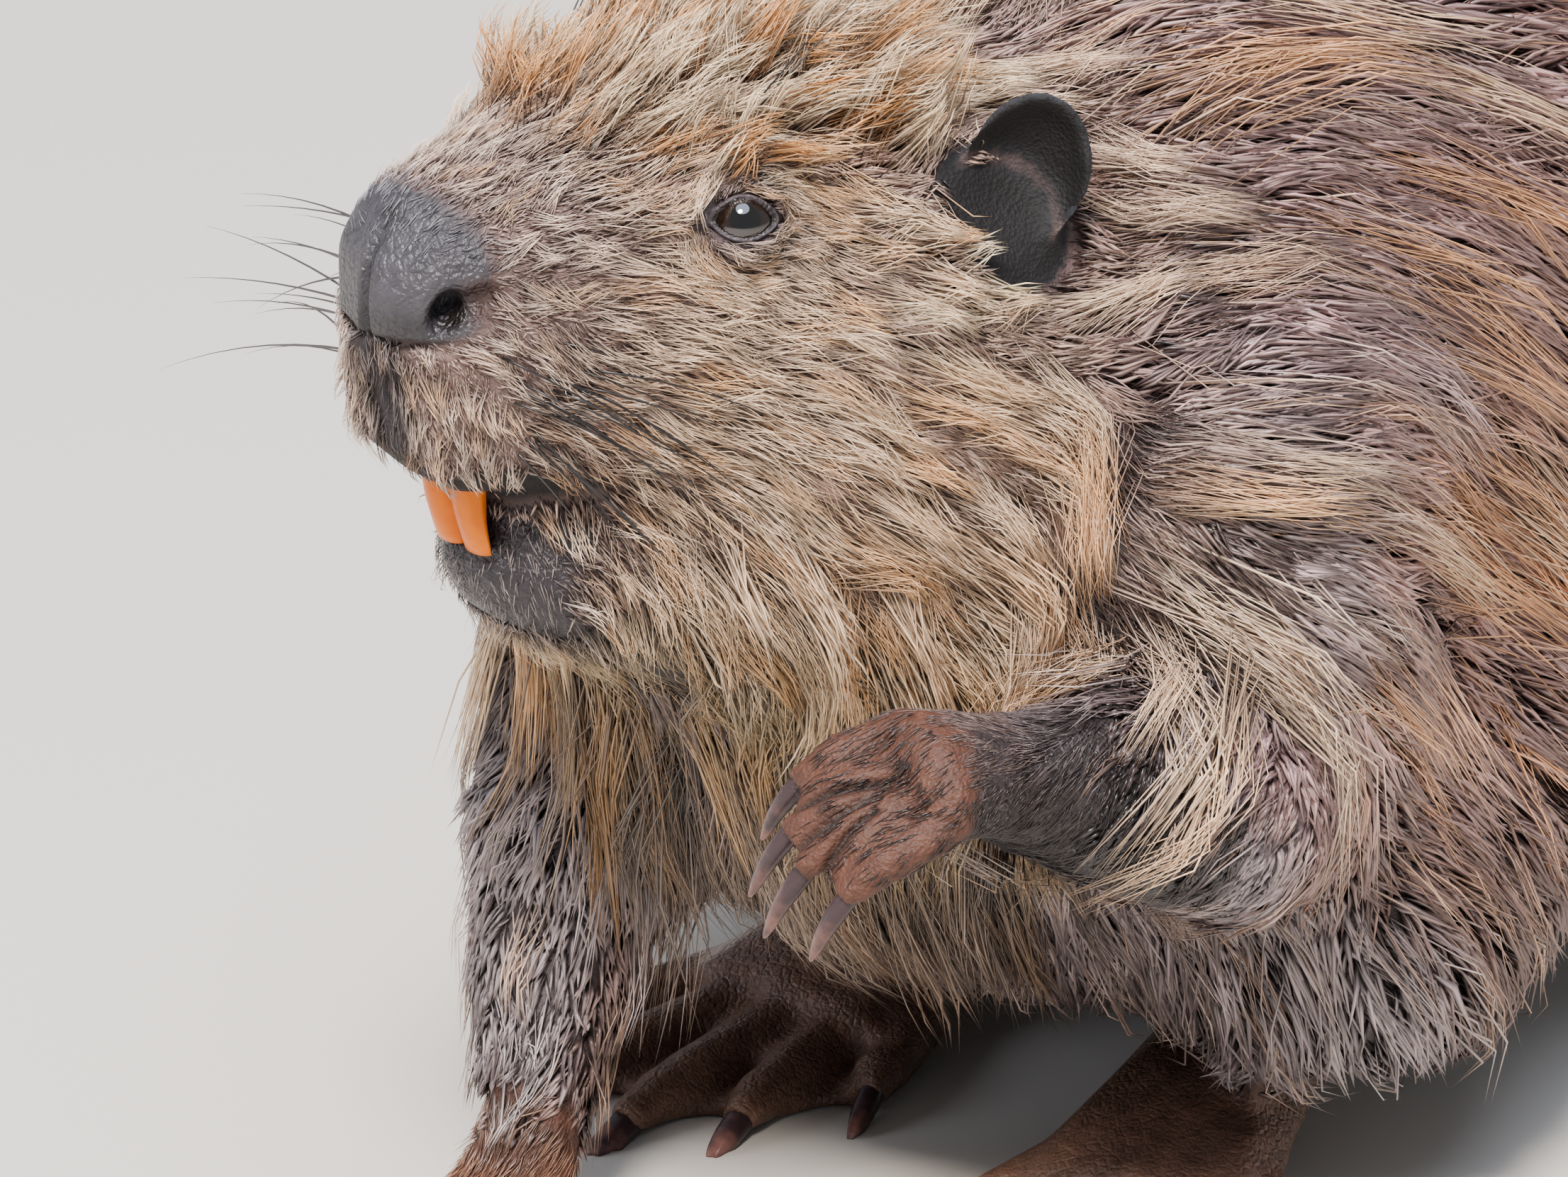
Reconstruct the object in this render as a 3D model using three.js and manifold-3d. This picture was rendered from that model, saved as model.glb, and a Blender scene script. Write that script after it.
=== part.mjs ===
// A life-size Eurasian beaver (Castor fiber), sitting hunched on its haunches with its right forefoot
// on the ground, its left forepaw lifted to its chest and its head raised and turned to its right.
//
// Millimetres. +X is the animal's left, -Y is ahead of it and +Z is up. The solids follow the tips of
// the coat. The masses of flesh are distance fields that melt into each other; the paws, claws, teeth,
// lower limbs and tail are swept forms.
import * as THREE from 'three';
import { mergeVertices } from 'three/addons/utils/BufferGeometryUtils.js';
import Module from 'manifold-3d';

const wasm = await Module();
wasm.setup();

// ---------------------------------------------------------------- driving dimensions

const GAP = 0.4; // between neighbouring pieces
const REACH = 1500; // longer than the whole animal

const HEAD = {
  nose: [-45, -91, 242], // middle of the nose pad's front
  turn: 20, // degrees to the animal's right
  lift: 8, // degrees the muzzle is raised
  eye: [34.5, 62, 15.5], // left eye's centre, from the nose: left, back, up
  eyeRadius: 7,
};

// An ear's middle, its radii (through the bowl, along the head, upward), and how many degrees it turns
// and leans.
const EAR = { at: [50, 121, 23], radii: [9, 14, 19], turn: 38, lean: 12, hollow: 6, wall: 2.4 };

// How far back the mouth runs, the height of the upper lip's edge, and how steeply the jaw drops open.
const MOUTH = { mouthBack: 50, lip: -45, slope: 0.2 };

// The skull with its muzzle, and the lower jaw: how far back from the nose, half width, bottom and top.
const HEAD_SECTIONS = [
  [-2, 9, -11, 9],
  [5, 19, -18, 17],
  [14, 24, -34, 21],
  [24, 28, -45, 25],
  [36, 32, -48, 30],
  [62, 39, -56, 37],
  [92, 54, -80, 40],
  [120, 61, -90, 38],
  [150, 61, -98, 32],
];
const JAW_SECTIONS = [
  [27, 13, -67, -53],
  [34, 20, -74, -50],
  [48, 27, -80, -46],
  [66, 36, -86, -42],
  [92, 46, -95, -40],
];
const NOSE_PAD = { at: [0, 9, 1], radii: [19, 11, 14] };
const LIP_PADS = { at: [9, 21, -26], radii: [13, 16, 17] };
const BROWS = { at: [27, 56, 24], radii: [12, 18, 9] };

const TORSO = {
  neck: { at: [12, 80, 200], radius: 72 },
  chest: { at: [0, 64, 150], radii: [86, 86, 112] },
  hump: { at: [0, 190, 203], radii: [110, 150, 118] },
  belly: { at: [0, 200, 142], radii: [130, 158, 124] },
  rump: { at: [0, 330, 126], radii: [116, 116, 126] },
  tailBase: { at: [0, 390, 84], radius: 74, end: 40 },
};
const NAPE = { at: [0, 125, -26], radius: 48 }; // where the neck meets the skull, from the nose

const ARMS = {
  left: { shoulder: [64, 54, 172], elbow: [95, 36, 114], wrist: [63, -34, 139] },
  right: { shoulder: [-62, 50, 170], elbow: [-74, 36, 100], wrist: [-62, -8, 22] },
};
const ARM_RADII = { shoulder: 52, elbow: 28 };

const LEGS = {
  left: { hip: [94, 235, 118], knee: [82, 94, 70], ankle: [46, 146, 32], heel: [40, 138], tip: [62, -30] },
  right: {
    hip: [-94, 262, 118],
    knee: [-98, 152, 80],
    ankle: [-52, 192, 32],
    heel: [-48, 180],
    tip: [-75, 20],
  },
};
const LEG_RADII = { hip: [50, 92, 92], knee: [46, 52, 52] };

// Half width and half thickness of a forepaw at its wrist, palm, knuckles and the fingers' roots.
const FOREPAW_GIRTHS = [[12, 12], [13.5, 10], [15.5, 9], [14, 6]];
const FINGER_WIDTH = 9;
const FINGERS = [
  { at: 13, behind: 14, fan: 26, length: 13, claw: 6, size: 0.8 }, // thumb
  { at: 12.3, behind: 1, fan: 10, length: 26, claw: 14 },
  { at: 4.1, behind: 0, fan: 3, length: 31, claw: 17 },
  { at: -4.1, behind: 0, fan: -3, length: 32, claw: 17 },
  { at: -12.3, behind: 2, fan: -9, length: 29, claw: 16 },
];

// A hind foot from its heel to its knuckles: share of the way, height, half width and half thickness.
const INSTEP = [
  [-0.07, 14, 12, 13],
  [0.2, 17, 17, 18],
  [0.66, 14, 23, 15],
  [1.1, 8, 31, 9],
];
const TOE = { width: 15, rise: 7, curl: 1.5, clawCurl: 8, web: 4 };
const TOES = [
  { at: 24, behind: 14, fan: 20, length: 40, claw: 13, size: 0.8 },
  { at: 13, behind: 3, fan: 10, length: 54, claw: 15, size: 0.9 },
  { at: 1, behind: 0, fan: 2, length: 66, claw: 18 },
  { at: -12, behind: 3, fan: -7, length: 64, claw: 18 },
  { at: -24, behind: 12, fan: -17, length: 52, claw: 15, size: 0.9 },
];

const INCISOR = { at: 4.4, halfWidth: 4.1, halfThickness: 3, top: [24, -36], tip: [29, -57], bow: 1.6 };

// The tail: where it starts and how high, how far its root's middle sinks per millimetre, how far its tip
// bends aside, and how much of its underside the floor flattens.
const TAIL = { start: 462, height: 40, root: 30, sink: 0.4, bend: 26, flat: 0.6 };

// Stations down the tail's length: how far back, half width and half thickness.
const TAIL_STATIONS = [
  [-24, 44, 42],
  [10, 38, 35],
  [48, 42, 22],
  [100, 57, 12],
  [165, 62, 10],
  [235, 56, 8.5],
  [280, 38, 6.5],
  [306, 14, 4],
];

const CELL = { torso: 46, head: 14, arm: 25, leg: 33 }; // sizes of the meshing grids

// ---------------------------------------------------------------- distance fields

const { clamp, degToRad, lerp } = THREE.MathUtils;
const point = (place) => new THREE.Vector3(...place);

// A rod from a to b whose radius runs from ra to rb.
function rod(a, ra, b, rb) {
  const [dx, dy, dz] = b.map((v, i) => v - a[i]);
  const span = dx * dx + dy * dy + dz * dz;
  return (x, y, z) => {
    const [px, py, pz] = [x - a[0], y - a[1], z - a[2]];
    const t = clamp((px * dx + py * dy + pz * dz) / span, 0, 1);
    return Math.hypot(px - t * dx, py - t * dy, pz - t * dz) - lerp(ra, rb, t);
  };
}

// An egg of three radii.
function egg([cx, cy, cz], [rx, ry, rz]) {
  return (x, y, z) => {
    const [px, py, pz] = [(x - cx) / rx, (y - cy) / ry, (z - cz) / rz];
    const size = Math.hypot(px, py, pz);
    const slope = Math.hypot(px / rx, py / ry, pz / rz);
    return slope === 0 ? -Math.min(rx, ry, rz) : (size * (size - 1)) / slope;
  };
}

// The left form and its mirror image.
const pair = (make, [x, y, z], ...rest) => [make([x, y, z], ...rest), make([-x, y, z], ...rest)];

// A smooth curve through [position, value] pairs.
function through(pairs) {
  const places = pairs.map(([at, value]) => point([at, value, 0]));
  const curve = new THREE.CatmullRomCurve3(places, false, 'catmullrom', 0.5);
  const samples = curve.getPoints(pairs.length * 12);
  return (at) => {
    let i = samples.findIndex((sample) => sample.x >= at);
    i = i < 1 ? (i < 0 ? samples.length - 1 : 1) : i;
    const [a, b] = [samples[i - 1], samples[i]];
    return lerp(a.y, b.y, clamp((at - a.x) / (b.x - a.x), 0, 1));
  };
}

// Forms that melt together where they are within about `soft` of each other.
function melt(soft, forms) {
  return (x, y, z) =>
    forms.reduce((near, form) => {
      const d = form(x, y, z);
      const share = Math.max(soft - Math.abs(near - d), 0) / soft;
      return Math.min(near, d) - (share * share * soft) / 4;
    }, Infinity);
}

// A field given in a frame of its own.
function framed(matrix, field) {
  const e = matrix.clone().invert().elements;
  return (x, y, z) =>
    field(
      e[0] * x + e[4] * y + e[8] * z + e[12],
      e[1] * x + e[5] * y + e[9] * z + e[13],
      e[2] * x + e[6] * y + e[10] * z + e[14],
    );
}

// ---------------------------------------------------------------- meshing a field

const CORNERS = [0, 1, 2, 3, 4, 5, 6, 7].map((n) => [n & 1, (n >> 1) & 1, n >> 2]);
const EDGES = [0, 1, 2].flatMap((axis) =>
  CORNERS.filter((c) => c[axis] === 0).map((c) => [c, c.map((v, i) => (i === axis ? 1 : v))]),
);

// The surface of a field inside a box: one vertex in each crossed cell, one quad round each crossed edge.
function skinOf(field, low, high, cell) {
  const count = low.map((v, i) => Math.ceil((high[i] - v) / cell) + 1);
  const step = [1, count[0], count[0] * count[1]];
  const index = (c) => c[0] * step[0] + c[1] * step[1] + c[2] * step[2];
  const values = new Float32Array(count[0] * count[1] * count[2]);
  const cells = [];
  for (let k = 0; k < count[2]; k++)
    for (let j = 0; j < count[1]; j++)
      for (let i = 0; i < count[0]; i++) {
        const c = [i, j, k];
        const inner = c.every((v, a) => v > 0 && v < count[a] - 1);
        const d = field(low[0] + i * cell, low[1] + j * cell, low[2] + k * cell);
        values[index(c)] = inner ? d : Math.max(d, cell / 2);
        if (c.every((v, a) => v < count[a] - 1)) cells.push(c);
      }

  const positions = [];
  const vertexAt = new Map();
  for (const c of cells) {
    const here = index(c);
    const crossings = EDGES.flatMap(([a, b]) => {
      const [va, vb] = [values[here + index(a)], values[here + index(b)]];
      if (va < 0 === vb < 0) return [];
      return [a.map((v, i) => lerp(v, b[i], va / (va - vb)))];
    });
    if (!crossings.length) continue;
    vertexAt.set(here, positions.length / 3);
    for (let a = 0; a < 3; a++) {
      const middle = crossings.reduce((sum, p) => sum + p[a], 0) / crossings.length;
      positions.push(low[a] + (c[a] + middle) * cell);
    }
  }

  const triangles = [];
  for (const c of cells) {
    const here = index(c);
    for (let axis = 0; axis < 3; axis++) {
      const [u, v] = [(axis + 1) % 3, (axis + 2) % 3];
      if (!c[u] || !c[v]) continue;
      const inside = values[here] < 0;
      if (inside === values[here + step[axis]] < 0) continue;
      const ring = [here - step[u] - step[v], here - step[v], here, here - step[u]];
      const [p, q, r, s] = ring.map((id) => vertexAt.get(id));
      triangles.push(...(inside ? [p, q, r, p, r, s] : [p, r, q, p, s, r]));
    }
  }
  settle(positions, field, low, high);
  const geometry = new THREE.BufferGeometry();
  geometry.setAttribute('position', new THREE.BufferAttribute(new Float32Array(positions), 3));
  geometry.setIndex(triangles);
  return geometry;
}

// Moves each vertex onto the field's surface, unless it closes the box's side.
function settle(positions, field, low, high) {
  const h = 0.5;
  const margin = 12;
  for (let i = 0; i < positions.length; i += 3) {
    let [x, y, z] = positions.slice(i, i + 3);
    const inside = [x, y, z].every((v, a) => v > low[a] + margin && v < high[a] - margin);
    for (let pass = 0; inside && pass < 3; pass++) {
      const d = field(x, y, z);
      const slope = [
        (field(x + h, y, z) - field(x - h, y, z)) / (2 * h),
        (field(x, y + h, z) - field(x, y - h, z)) / (2 * h),
        (field(x, y, z + h) - field(x, y, z - h)) / (2 * h),
      ];
      const square = Math.max(slope.reduce((sum, s) => sum + s * s, 0), 0.1);
      [x, y, z] = [x, y, z].map((v, a) => v - (0.7 * d * slope[a]) / square);
    }
    [positions[i], positions[i + 1], positions[i + 2]] = [x, y, z];
  }
}

// ---------------------------------------------------------------- solids

function solidOf(geometry, matrix) {
  const bare = geometry.index ? geometry.toNonIndexed() : geometry.clone();
  bare.deleteAttribute('normal');
  bare.deleteAttribute('uv');
  if (matrix) bare.applyMatrix4(matrix);
  const merged = mergeVertices(bare, 1e-3);
  const vertProperties = merged.attributes.position.array;
  const triVerts = new Uint32Array(merged.index.array);
  return new wasm.Manifold(new wasm.Mesh({ numProp: 3, vertProperties, triVerts }));
}

function geometryOf(solid) {
  const mesh = solid.getMesh();
  const geometry = new THREE.BufferGeometry();
  geometry.setAttribute('position', new THREE.BufferAttribute(new Float32Array(mesh.vertProperties), 3));
  geometry.setIndex(new THREE.BufferAttribute(new Uint32Array(mesh.triVerts), 1));
  return geometry;
}

const largest = (solid) =>
  solid.decompose().reduce((best, piece) => (piece.volume() > best.volume() ? piece : best));

// The same solid, a gap's width fatter all round.
function grown(solid, by = GAP) {
  const geometry = geometryOf(solid);
  geometry.computeVertexNormals();
  const { position, normal } = geometry.attributes;
  for (let i = 0; i < position.count; i++)
    position.setXYZ(
      i,
      position.getX(i) + normal.getX(i) * by,
      position.getY(i) + normal.getY(i) * by,
      position.getZ(i) + normal.getZ(i) * by,
    );
  const mesh = { numProp: 3, vertProperties: position.array, triVerts: geometry.index.array };
  return new wasm.Manifold(new wasm.Mesh(mesh));
}

// A piece cut back so that it stays clear of its neighbours.
const clearOf = (piece, ...neighbours) =>
  largest(neighbours.reduce((left, other) => left.subtract(grown(other)).subtract(other), piece));

// All of space ahead of a plane, half a gap clear of it.
function aheadOf(point, direction) {
  const toward = new THREE.Vector3(...direction).normalize();
  const turn = new THREE.Quaternion().setFromUnitVectors(new THREE.Vector3(0, 0, 1), toward);
  const centre = new THREE.Vector3(...point).addScaledVector(toward, REACH / 2 + GAP / 2);
  const place = new THREE.Matrix4().compose(centre, turn, new THREE.Vector3(1, 1, 1));
  return solidOf(new THREE.BoxGeometry(REACH, REACH, REACH), place);
}

// The two sides of a thin cut: the piece ahead of the plane, then the piece behind it.
const cut = (solid, point, direction) => [
  largest(solid.intersect(aheadOf(point, direction))),
  largest(solid.intersect(aheadOf(point, direction.map((v) => -v)))),
];

const ABOVE_FLOOR = aheadOf([0, 0, -GAP / 2], [0, 0, 1]);

const ball = ([x, y, z], [rx, ry, rz], across = 16) =>
  solidOf(
    new THREE.SphereGeometry(1, across, across / 2),
    new THREE.Matrix4().makeTranslation(x, y, z).scale(new THREE.Vector3(rx, ry, rz)),
  );

const extruded = (outline, depth, curveSegments, place) =>
  solidOf(new THREE.ExtrudeGeometry(outline, { depth, bevelEnabled: false, curveSegments }), place);

// A form swept through stations [x, y, z, half width, half height], with its width along `across`.
function swept(stations, across, { sides = 8, rings = stations.length } = {}) {
  const path = new THREE.CatmullRomCurve3(stations.map(([x, y, z]) => point([x, y, z])));
  const girth = new THREE.CatmullRomCurve3(stations.map(([, , , w, h]) => point([w, h, 0])));
  const geometry = new THREE.CylinderGeometry(1, 1, 1, sides, rings);
  const { position } = geometry.attributes;
  for (let i = 0; i < position.count; i++) {
    const t = clamp(position.getY(i) + 0.5, 0, 1);
    const along = path.getTangent(t);
    const side = point(across).projectOnPlane(along).normalize();
    const top = along.cross(side);
    const { x: halfWidth, y: halfHeight } = girth.getPoint(t);
    const place = path
      .getPoint(t)
      .addScaledVector(side, position.getX(i) * halfWidth)
      .addScaledVector(top, -position.getZ(i) * halfHeight);
    position.setXYZ(i, ...place.toArray());
  }
  return solidOf(geometry);
}

// ---------------------------------------------------------------- the body as one field

const HEAD_FRAME = new THREE.Matrix4()
  .makeTranslation(...HEAD.nose)
  .multiply(new THREE.Matrix4().makeRotationZ(-degToRad(HEAD.turn)))
  .multiply(new THREE.Matrix4().makeRotationX(-degToRad(HEAD.lift)));

// A point, or a direction, given from the nose as left, back and up.
const onHead = (place) => point(place).applyMatrix4(HEAD_FRAME).toArray();
const headward = (way) => point(way).transformDirection(HEAD_FRAME).toArray();

// A form lofted along the head through sections [back, half width, bottom, top].
function loft(sections, squareness = 2.3) {
  const column = (i) => through(sections.map((section) => [section[0], section[i]]));
  const [width, bottom, top] = [1, 2, 3].map(column);
  const [first, last] = [sections[0][0], sections[sections.length - 1][0]];
  return (l, b, u) => {
    const at = clamp(b, first, last);
    const [w, low, high] = [width(at), bottom(at), top(at)];
    const half = (high - low) / 2;
    const across = Math.abs(l / w) ** squareness;
    const upward = Math.abs((u - (high + low) / 2) / half) ** squareness;
    const d = ((across + upward) ** (1 / squareness) - 1) * Math.min(w, half);
    return b === at ? d : Math.max(d, 0) + Math.abs(b - at) - 0.001;
  };
}

const headField = framed(
  HEAD_FRAME,
  melt(7, [
    loft(HEAD_SECTIONS),
    loft(JAW_SECTIONS),
    egg(NOSE_PAD.at, NOSE_PAD.radii),
    ...pair(egg, LIP_PADS.at, LIP_PADS.radii),
    ...pair(egg, BROWS.at, BROWS.radii),
  ]),
);

const torsoField = melt(40, [
  egg(TORSO.chest.at, TORSO.chest.radii),
  egg(TORSO.hump.at, TORSO.hump.radii),
  egg(TORSO.belly.at, TORSO.belly.radii),
  egg(TORSO.rump.at, TORSO.rump.radii),
  rod(TORSO.tailBase.at, TORSO.tailBase.radius, [0, TAIL.start, TAIL.height], TORSO.tailBase.end),
]);

const upperArm = ({ shoulder, elbow }) => rod(shoulder, ARM_RADII.shoulder, elbow, ARM_RADII.elbow);
const neck = rod(TORSO.neck.at, TORSO.neck.radius, onHead(NAPE.at), NAPE.radius);

const thigh = ({ hip, knee }) => melt(46, [egg(hip, LEG_RADII.hip), egg(knee, LEG_RADII.knee)]);

const bodyField = melt(20, [
  torsoField,
  neck,
  headField,
  ...Object.values(ARMS).map(upperArm),
  ...Object.values(LEGS).map(thigh),
]);

// The body's surface near some forms, meshed at its own cell size.
function bodyNear(places, margin, cell) {
  const low = [0, 1, 2].map((a) => Math.min(...places.map((p) => p[a])) - margin);
  const high = [0, 1, 2].map((a) => Math.max(...places.map((p) => p[a])) + margin);
  return solidOf(skinOf(bodyField, low, high, cell)).intersect(ABOVE_FLOOR);
}

// ---------------------------------------------------------------- paws

// Where each digit starts, which way it heads and which way its back faces.
function fanOf({ knuckles, heading, back, digits }) {
  const way = point(heading).normalize();
  const across = point(back).cross(way).normalize();
  const up = way.clone().cross(across);
  return digits.map(({ at, behind, fan, below = 0 }) => ({
    from: point(knuckles).addScaledVector(across, at).addScaledVector(way, -behind).addScaledVector(up, -below),
    way: way.clone().applyAxisAngle(up, degToRad(fan)),
    up,
  }));
}

// One digit and its claw. `curl` and `clawCurl` are the bends, in degrees, at each of their joints.
function digit({ from, way, up }, { length, claw, size = 1 }, { width, flatness, curl, clawCurl }) {
  const side = up.clone().cross(way).normalize();
  const here = from.clone();
  const heading = way.clone();
  const walk = (by, bend) => here.addScaledVector(heading.applyAxisAngle(side, degToRad(bend)), by);
  const half = (width * size) / 2;
  const station = (share) => [...here.toArray(), half * share, half * share * flatness];

  const flesh = [station(1)];
  for (const [part, share] of [[0.42, 0.94], [0.36, 1], [0.22, 0.66]]) {
    walk(length * part, curl);
    flesh.push(station(share));
  }
  const root = length * 0.14;
  here.addScaledVector(heading, -root);
  const nail = [station(0.56)];
  for (const share of [0.52, 0.38, 0.1]) {
    walk((root + claw) / 3, clawCurl);
    nail.push(station(share));
  }
  const across = side.toArray();
  return {
    flesh: swept(flesh, across, { sides: 6, rings: 2 }),
    claw: swept(nail, across, { sides: 5, rings: 2 }),
  };
}

const mirrored = (digits) => digits.map((one) => ({ ...one, at: -one.at, fan: -one.fan }));

// A forepaw: the palm from the wrist to the knuckles, and its five digits.
function forepaw({ wrist, palm, knuckles, heading, back, curl, clawCurl, digits }) {
  const shape = { width: FINGER_WIDTH, flatness: 0.9, curl, clawCurl };
  const made = fanOf({ knuckles, heading, back, digits }).map((place, i) => digit(place, digits[i], shape));
  const across = point(back).cross(point(heading)).toArray();
  const front = point(knuckles).addScaledVector(point(heading).normalize(), 4).toArray();
  const stations = [wrist, palm, knuckles, front].map((place, i) => [...place, ...FOREPAW_GIRTHS[i]]);
  return joined([swept(stations, across, { rings: 3 })], made);
}

// A hind foot flat on the floor from its heel to the middle toe's claw, with webs between its five toes.
function hindFoot({ heel, tip }, digits) {
  const way = point([tip[0] - heel[0], tip[1] - heel[1], 0]);
  const span = way.length() - TOES[2].length - TOES[2].claw;
  way.normalize();
  const along = (share, height) => point([...heel, height]).addScaledVector(way, share * span).toArray();
  const knuckles = along(1, TOE.rise);
  const places = fanOf({ knuckles, heading: way.toArray(), back: [0, 0, 1], digits });
  const shape = { width: TOE.width, flatness: 1, curl: TOE.curl, clawCurl: TOE.clawCurl };
  const made = places.map((place, i) => digit(place, digits[i], shape));
  const stations = INSTEP.map(([share, height, ...girth]) => [...along(share, height), ...girth]);
  const instep = swept(stations, [-way.y, way.x, 0], { sides: 8, rings: 3 });
  return { ...joined([instep, webs(places, digits, way)], made), instep };
}

// The webs between the toes, scalloped along their front edge.
function webs(places, digits, way) {
  const scallop = 10;
  const endOf = (place, i) => place.from.clone().addScaledVector(place.way, digits[i].length * 0.86);
  const ends = places.map(endOf);
  const flat = (v) => [v.x, v.y];
  const outline = new THREE.Shape();
  outline.moveTo(...flat(places[0].from));
  outline.lineTo(...flat(ends[0]));
  for (let i = 1; i < ends.length; i++) {
    const middle = ends[i - 1].clone().add(ends[i]).multiplyScalar(0.5).addScaledVector(way, -scallop);
    outline.quadraticCurveTo(...flat(middle), ...flat(ends[i]));
  }
  outline.lineTo(...flat(places[4].from));
  return extruded(outline, TOE.web, 2);
}

const joined = (parts, digits) => ({
  flesh: [...parts, ...digits.map((one) => one.flesh)].reduce((all, one) => all.add(one)),
  claws: digits.map((one) => one.claw),
});

// ---------------------------------------------------------------- the nodes

const MATERIALS = {
  coat: { color: 0x8a7458, roughness: 0.85 },
  skin: { color: 0x5d4433, roughness: 0.6 },
  tail: { color: 0x3a3430, roughness: 0.7 },
  claw: { color: 0x4a4038, roughness: 0.45 },
  enamel: { color: 0xd9761a, roughness: 0.35 },
  eye: { color: 0x0d0a09, roughness: 0.08 },
};

const animal = new THREE.Group();

function node(name, solid, material) {
  const geometry = geometryOf(solid);
  geometry.computeVertexNormals();
  const surface = new THREE.MeshStandardMaterial({ ...MATERIALS[material], metalness: 0 });
  const mesh = new THREE.Mesh(geometry, surface);
  mesh.name = name;
  animal.add(mesh);
}

// The blocks that part the upper arms and the thighs from the trunk: their radii round both joints, and
// how far out to the side they reach.
const ARM_BLOCK = { shoulder: 50, elbow: 35, reach: [46, 190] };
const THIGH_BLOCK = { hip: 88, knee: 55, reach: [44, 190] };

// A block lying across the animal, whose outline from the side wraps round two joints.
function sideBlock(joint, radius, farJoint, farRadius, [from, to]) {
  const [dy, dz] = [farJoint[1] - joint[1], farJoint[2] - joint[2]];
  const heading = Math.atan2(dz, dy);
  const lean = Math.acos((radius - farRadius) / Math.hypot(dy, dz));
  const outline = new THREE.Shape();
  outline.absarc(joint[1], joint[2], radius, heading + lean, heading + 2 * Math.PI - lean, false);
  outline.absarc(farJoint[1], farJoint[2], farRadius, heading - lean, heading + lean, false);
  const place = new THREE.Matrix4().makeBasis(point([0, 1, 0]), point([0, 0, 1]), point([1, 0, 0]));
  place.setPosition(joint[0] > 0 ? from : -to, 0, 0);
  return extruded(outline, to - from, 6, place);
}

// A limb's lower length: a tapering form between two joints, from stations [share of the way, radius].
function lowerLimb(from, to, girths) {
  const way = point(to).sub(point(from));
  const stations = girths.map(([share, radius]) => {
    return [...point(from).addScaledVector(way, share).toArray(), radius, radius];
  });
  return swept(stations, [1, 0, 0], { sides: 12, rings: girths.length });
}

function armNodes(side, arm) {
  const { shoulder, elbow, wrist } = arm;
  const block = sideBlock(shoulder, ARM_BLOCK.shoulder, elbow, ARM_BLOCK.elbow, ARM_BLOCK.reach);
  const upper = largest(bodyNear([shoulder, elbow], ARM_RADII.shoulder + 12, CELL.arm).intersect(block));
  const paw = forepaw({ wrist, ...PAWS[side] });
  const forearm = lowerLimb(elbow, wrist, [[0.1, 27], [0.4, 25.5], [0.75, 19], [1, 14]]);
  node(`upper_arm_${side}`, upper, 'coat');
  node(`forearm_${side}`, clearOf(forearm, upper, paw.flesh), 'coat');
  pawNodes(`forepaw_${side}`, `fore_claw_${side}`, paw);
  return [block, forearm];
}

// The lifted paw's fingers hang nearly side by side, with the thumb folded behind the palm.
const HANGING = [
  { at: 6, behind: 8, below: 9, fan: 12 },
  { fan: 3, claw: 17 },
  { fan: 0, claw: 19 },
  { fan: -3, claw: 19 },
  { fan: -7, claw: 17 },
];

const PAWS = {
  left: {
    palm: [61, -43, 142.5],
    knuckles: [57.5, -53, 145.5],
    heading: [-0.63, -0.76, -0.13],
    back: [0.15, -0.56, 0.82],
    curl: 13,
    clawCurl: 13,
    digits: mirrored(FINGERS.map((finger, i) => ({ ...finger, ...HANGING[i] }))),
  },
  right: {
    palm: [-62.5, -20, 10],
    knuckles: [-63, -37, 8],
    heading: [-0.06, -1, -0.04],
    back: [0, 0, 1],
    curl: 4,
    clawCurl: 12,
    digits: FINGERS,
  },
};

function pawNodes(name, clawName, { flesh, claws }) {
  const grounded = claws.map((claw) => claw.intersect(ABOVE_FLOOR));
  node(name, clearOf(flesh.intersect(ABOVE_FLOOR), ...grounded), 'skin');
  grounded.forEach((claw, i) => node(`${clawName}_${i + 1}`, claw, 'claw'));
}

function legNodes(side, leg, digits, arms) {
  const { hip, knee, ankle } = leg;
  const block = sideBlock(hip, THIGH_BLOCK.hip, knee, THIGH_BLOCK.knee, THIGH_BLOCK.reach);
  const limb = bodyNear([hip, knee], LEG_RADII.hip[1] + 6, CELL.leg);
  const foot = hindFoot(leg, digits);
  const shank = lowerLimb(knee, ankle, [[0.2, 34], [0.6, 28], [1, 18]]);
  node(`thigh_${side}`, clearOf(limb.intersect(block), foot.instep, ...arms), 'coat');
  node(`shank_${side}`, clearOf(shank, block, foot.instep), 'coat');
  pawNodes(`hind_foot_${side}`, `hind_claw_${side}`, foot);
  return [block, shank, foot.instep];
}

// A box given in the head's own frame.
function headBox(low, high) {
  const size = low.map((v, a) => high[a] - v);
  const middle = low.map((v, a) => (high[a] + v) / 2);
  const place = HEAD_FRAME.clone().multiply(new THREE.Matrix4().setPosition(...middle));
  return solidOf(new THREE.BoxGeometry(...size), place);
}

function incisor(hand) {
  const { at, halfWidth, halfThickness, top, tip, bow } = INCISOR;
  const middle = [(top[0] + tip[0]) / 2 - bow, (top[1] + tip[1]) / 2];
  const stations = [top, middle, tip].map(([b, u], i) => {
    const thickness = i === 2 ? halfThickness / 2 : halfThickness;
    return [...onHead([hand * at, b, u]), halfWidth, thickness];
  });
  return swept(stations, headward([1, 0, 0]), { rings: 3 });
}

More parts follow.
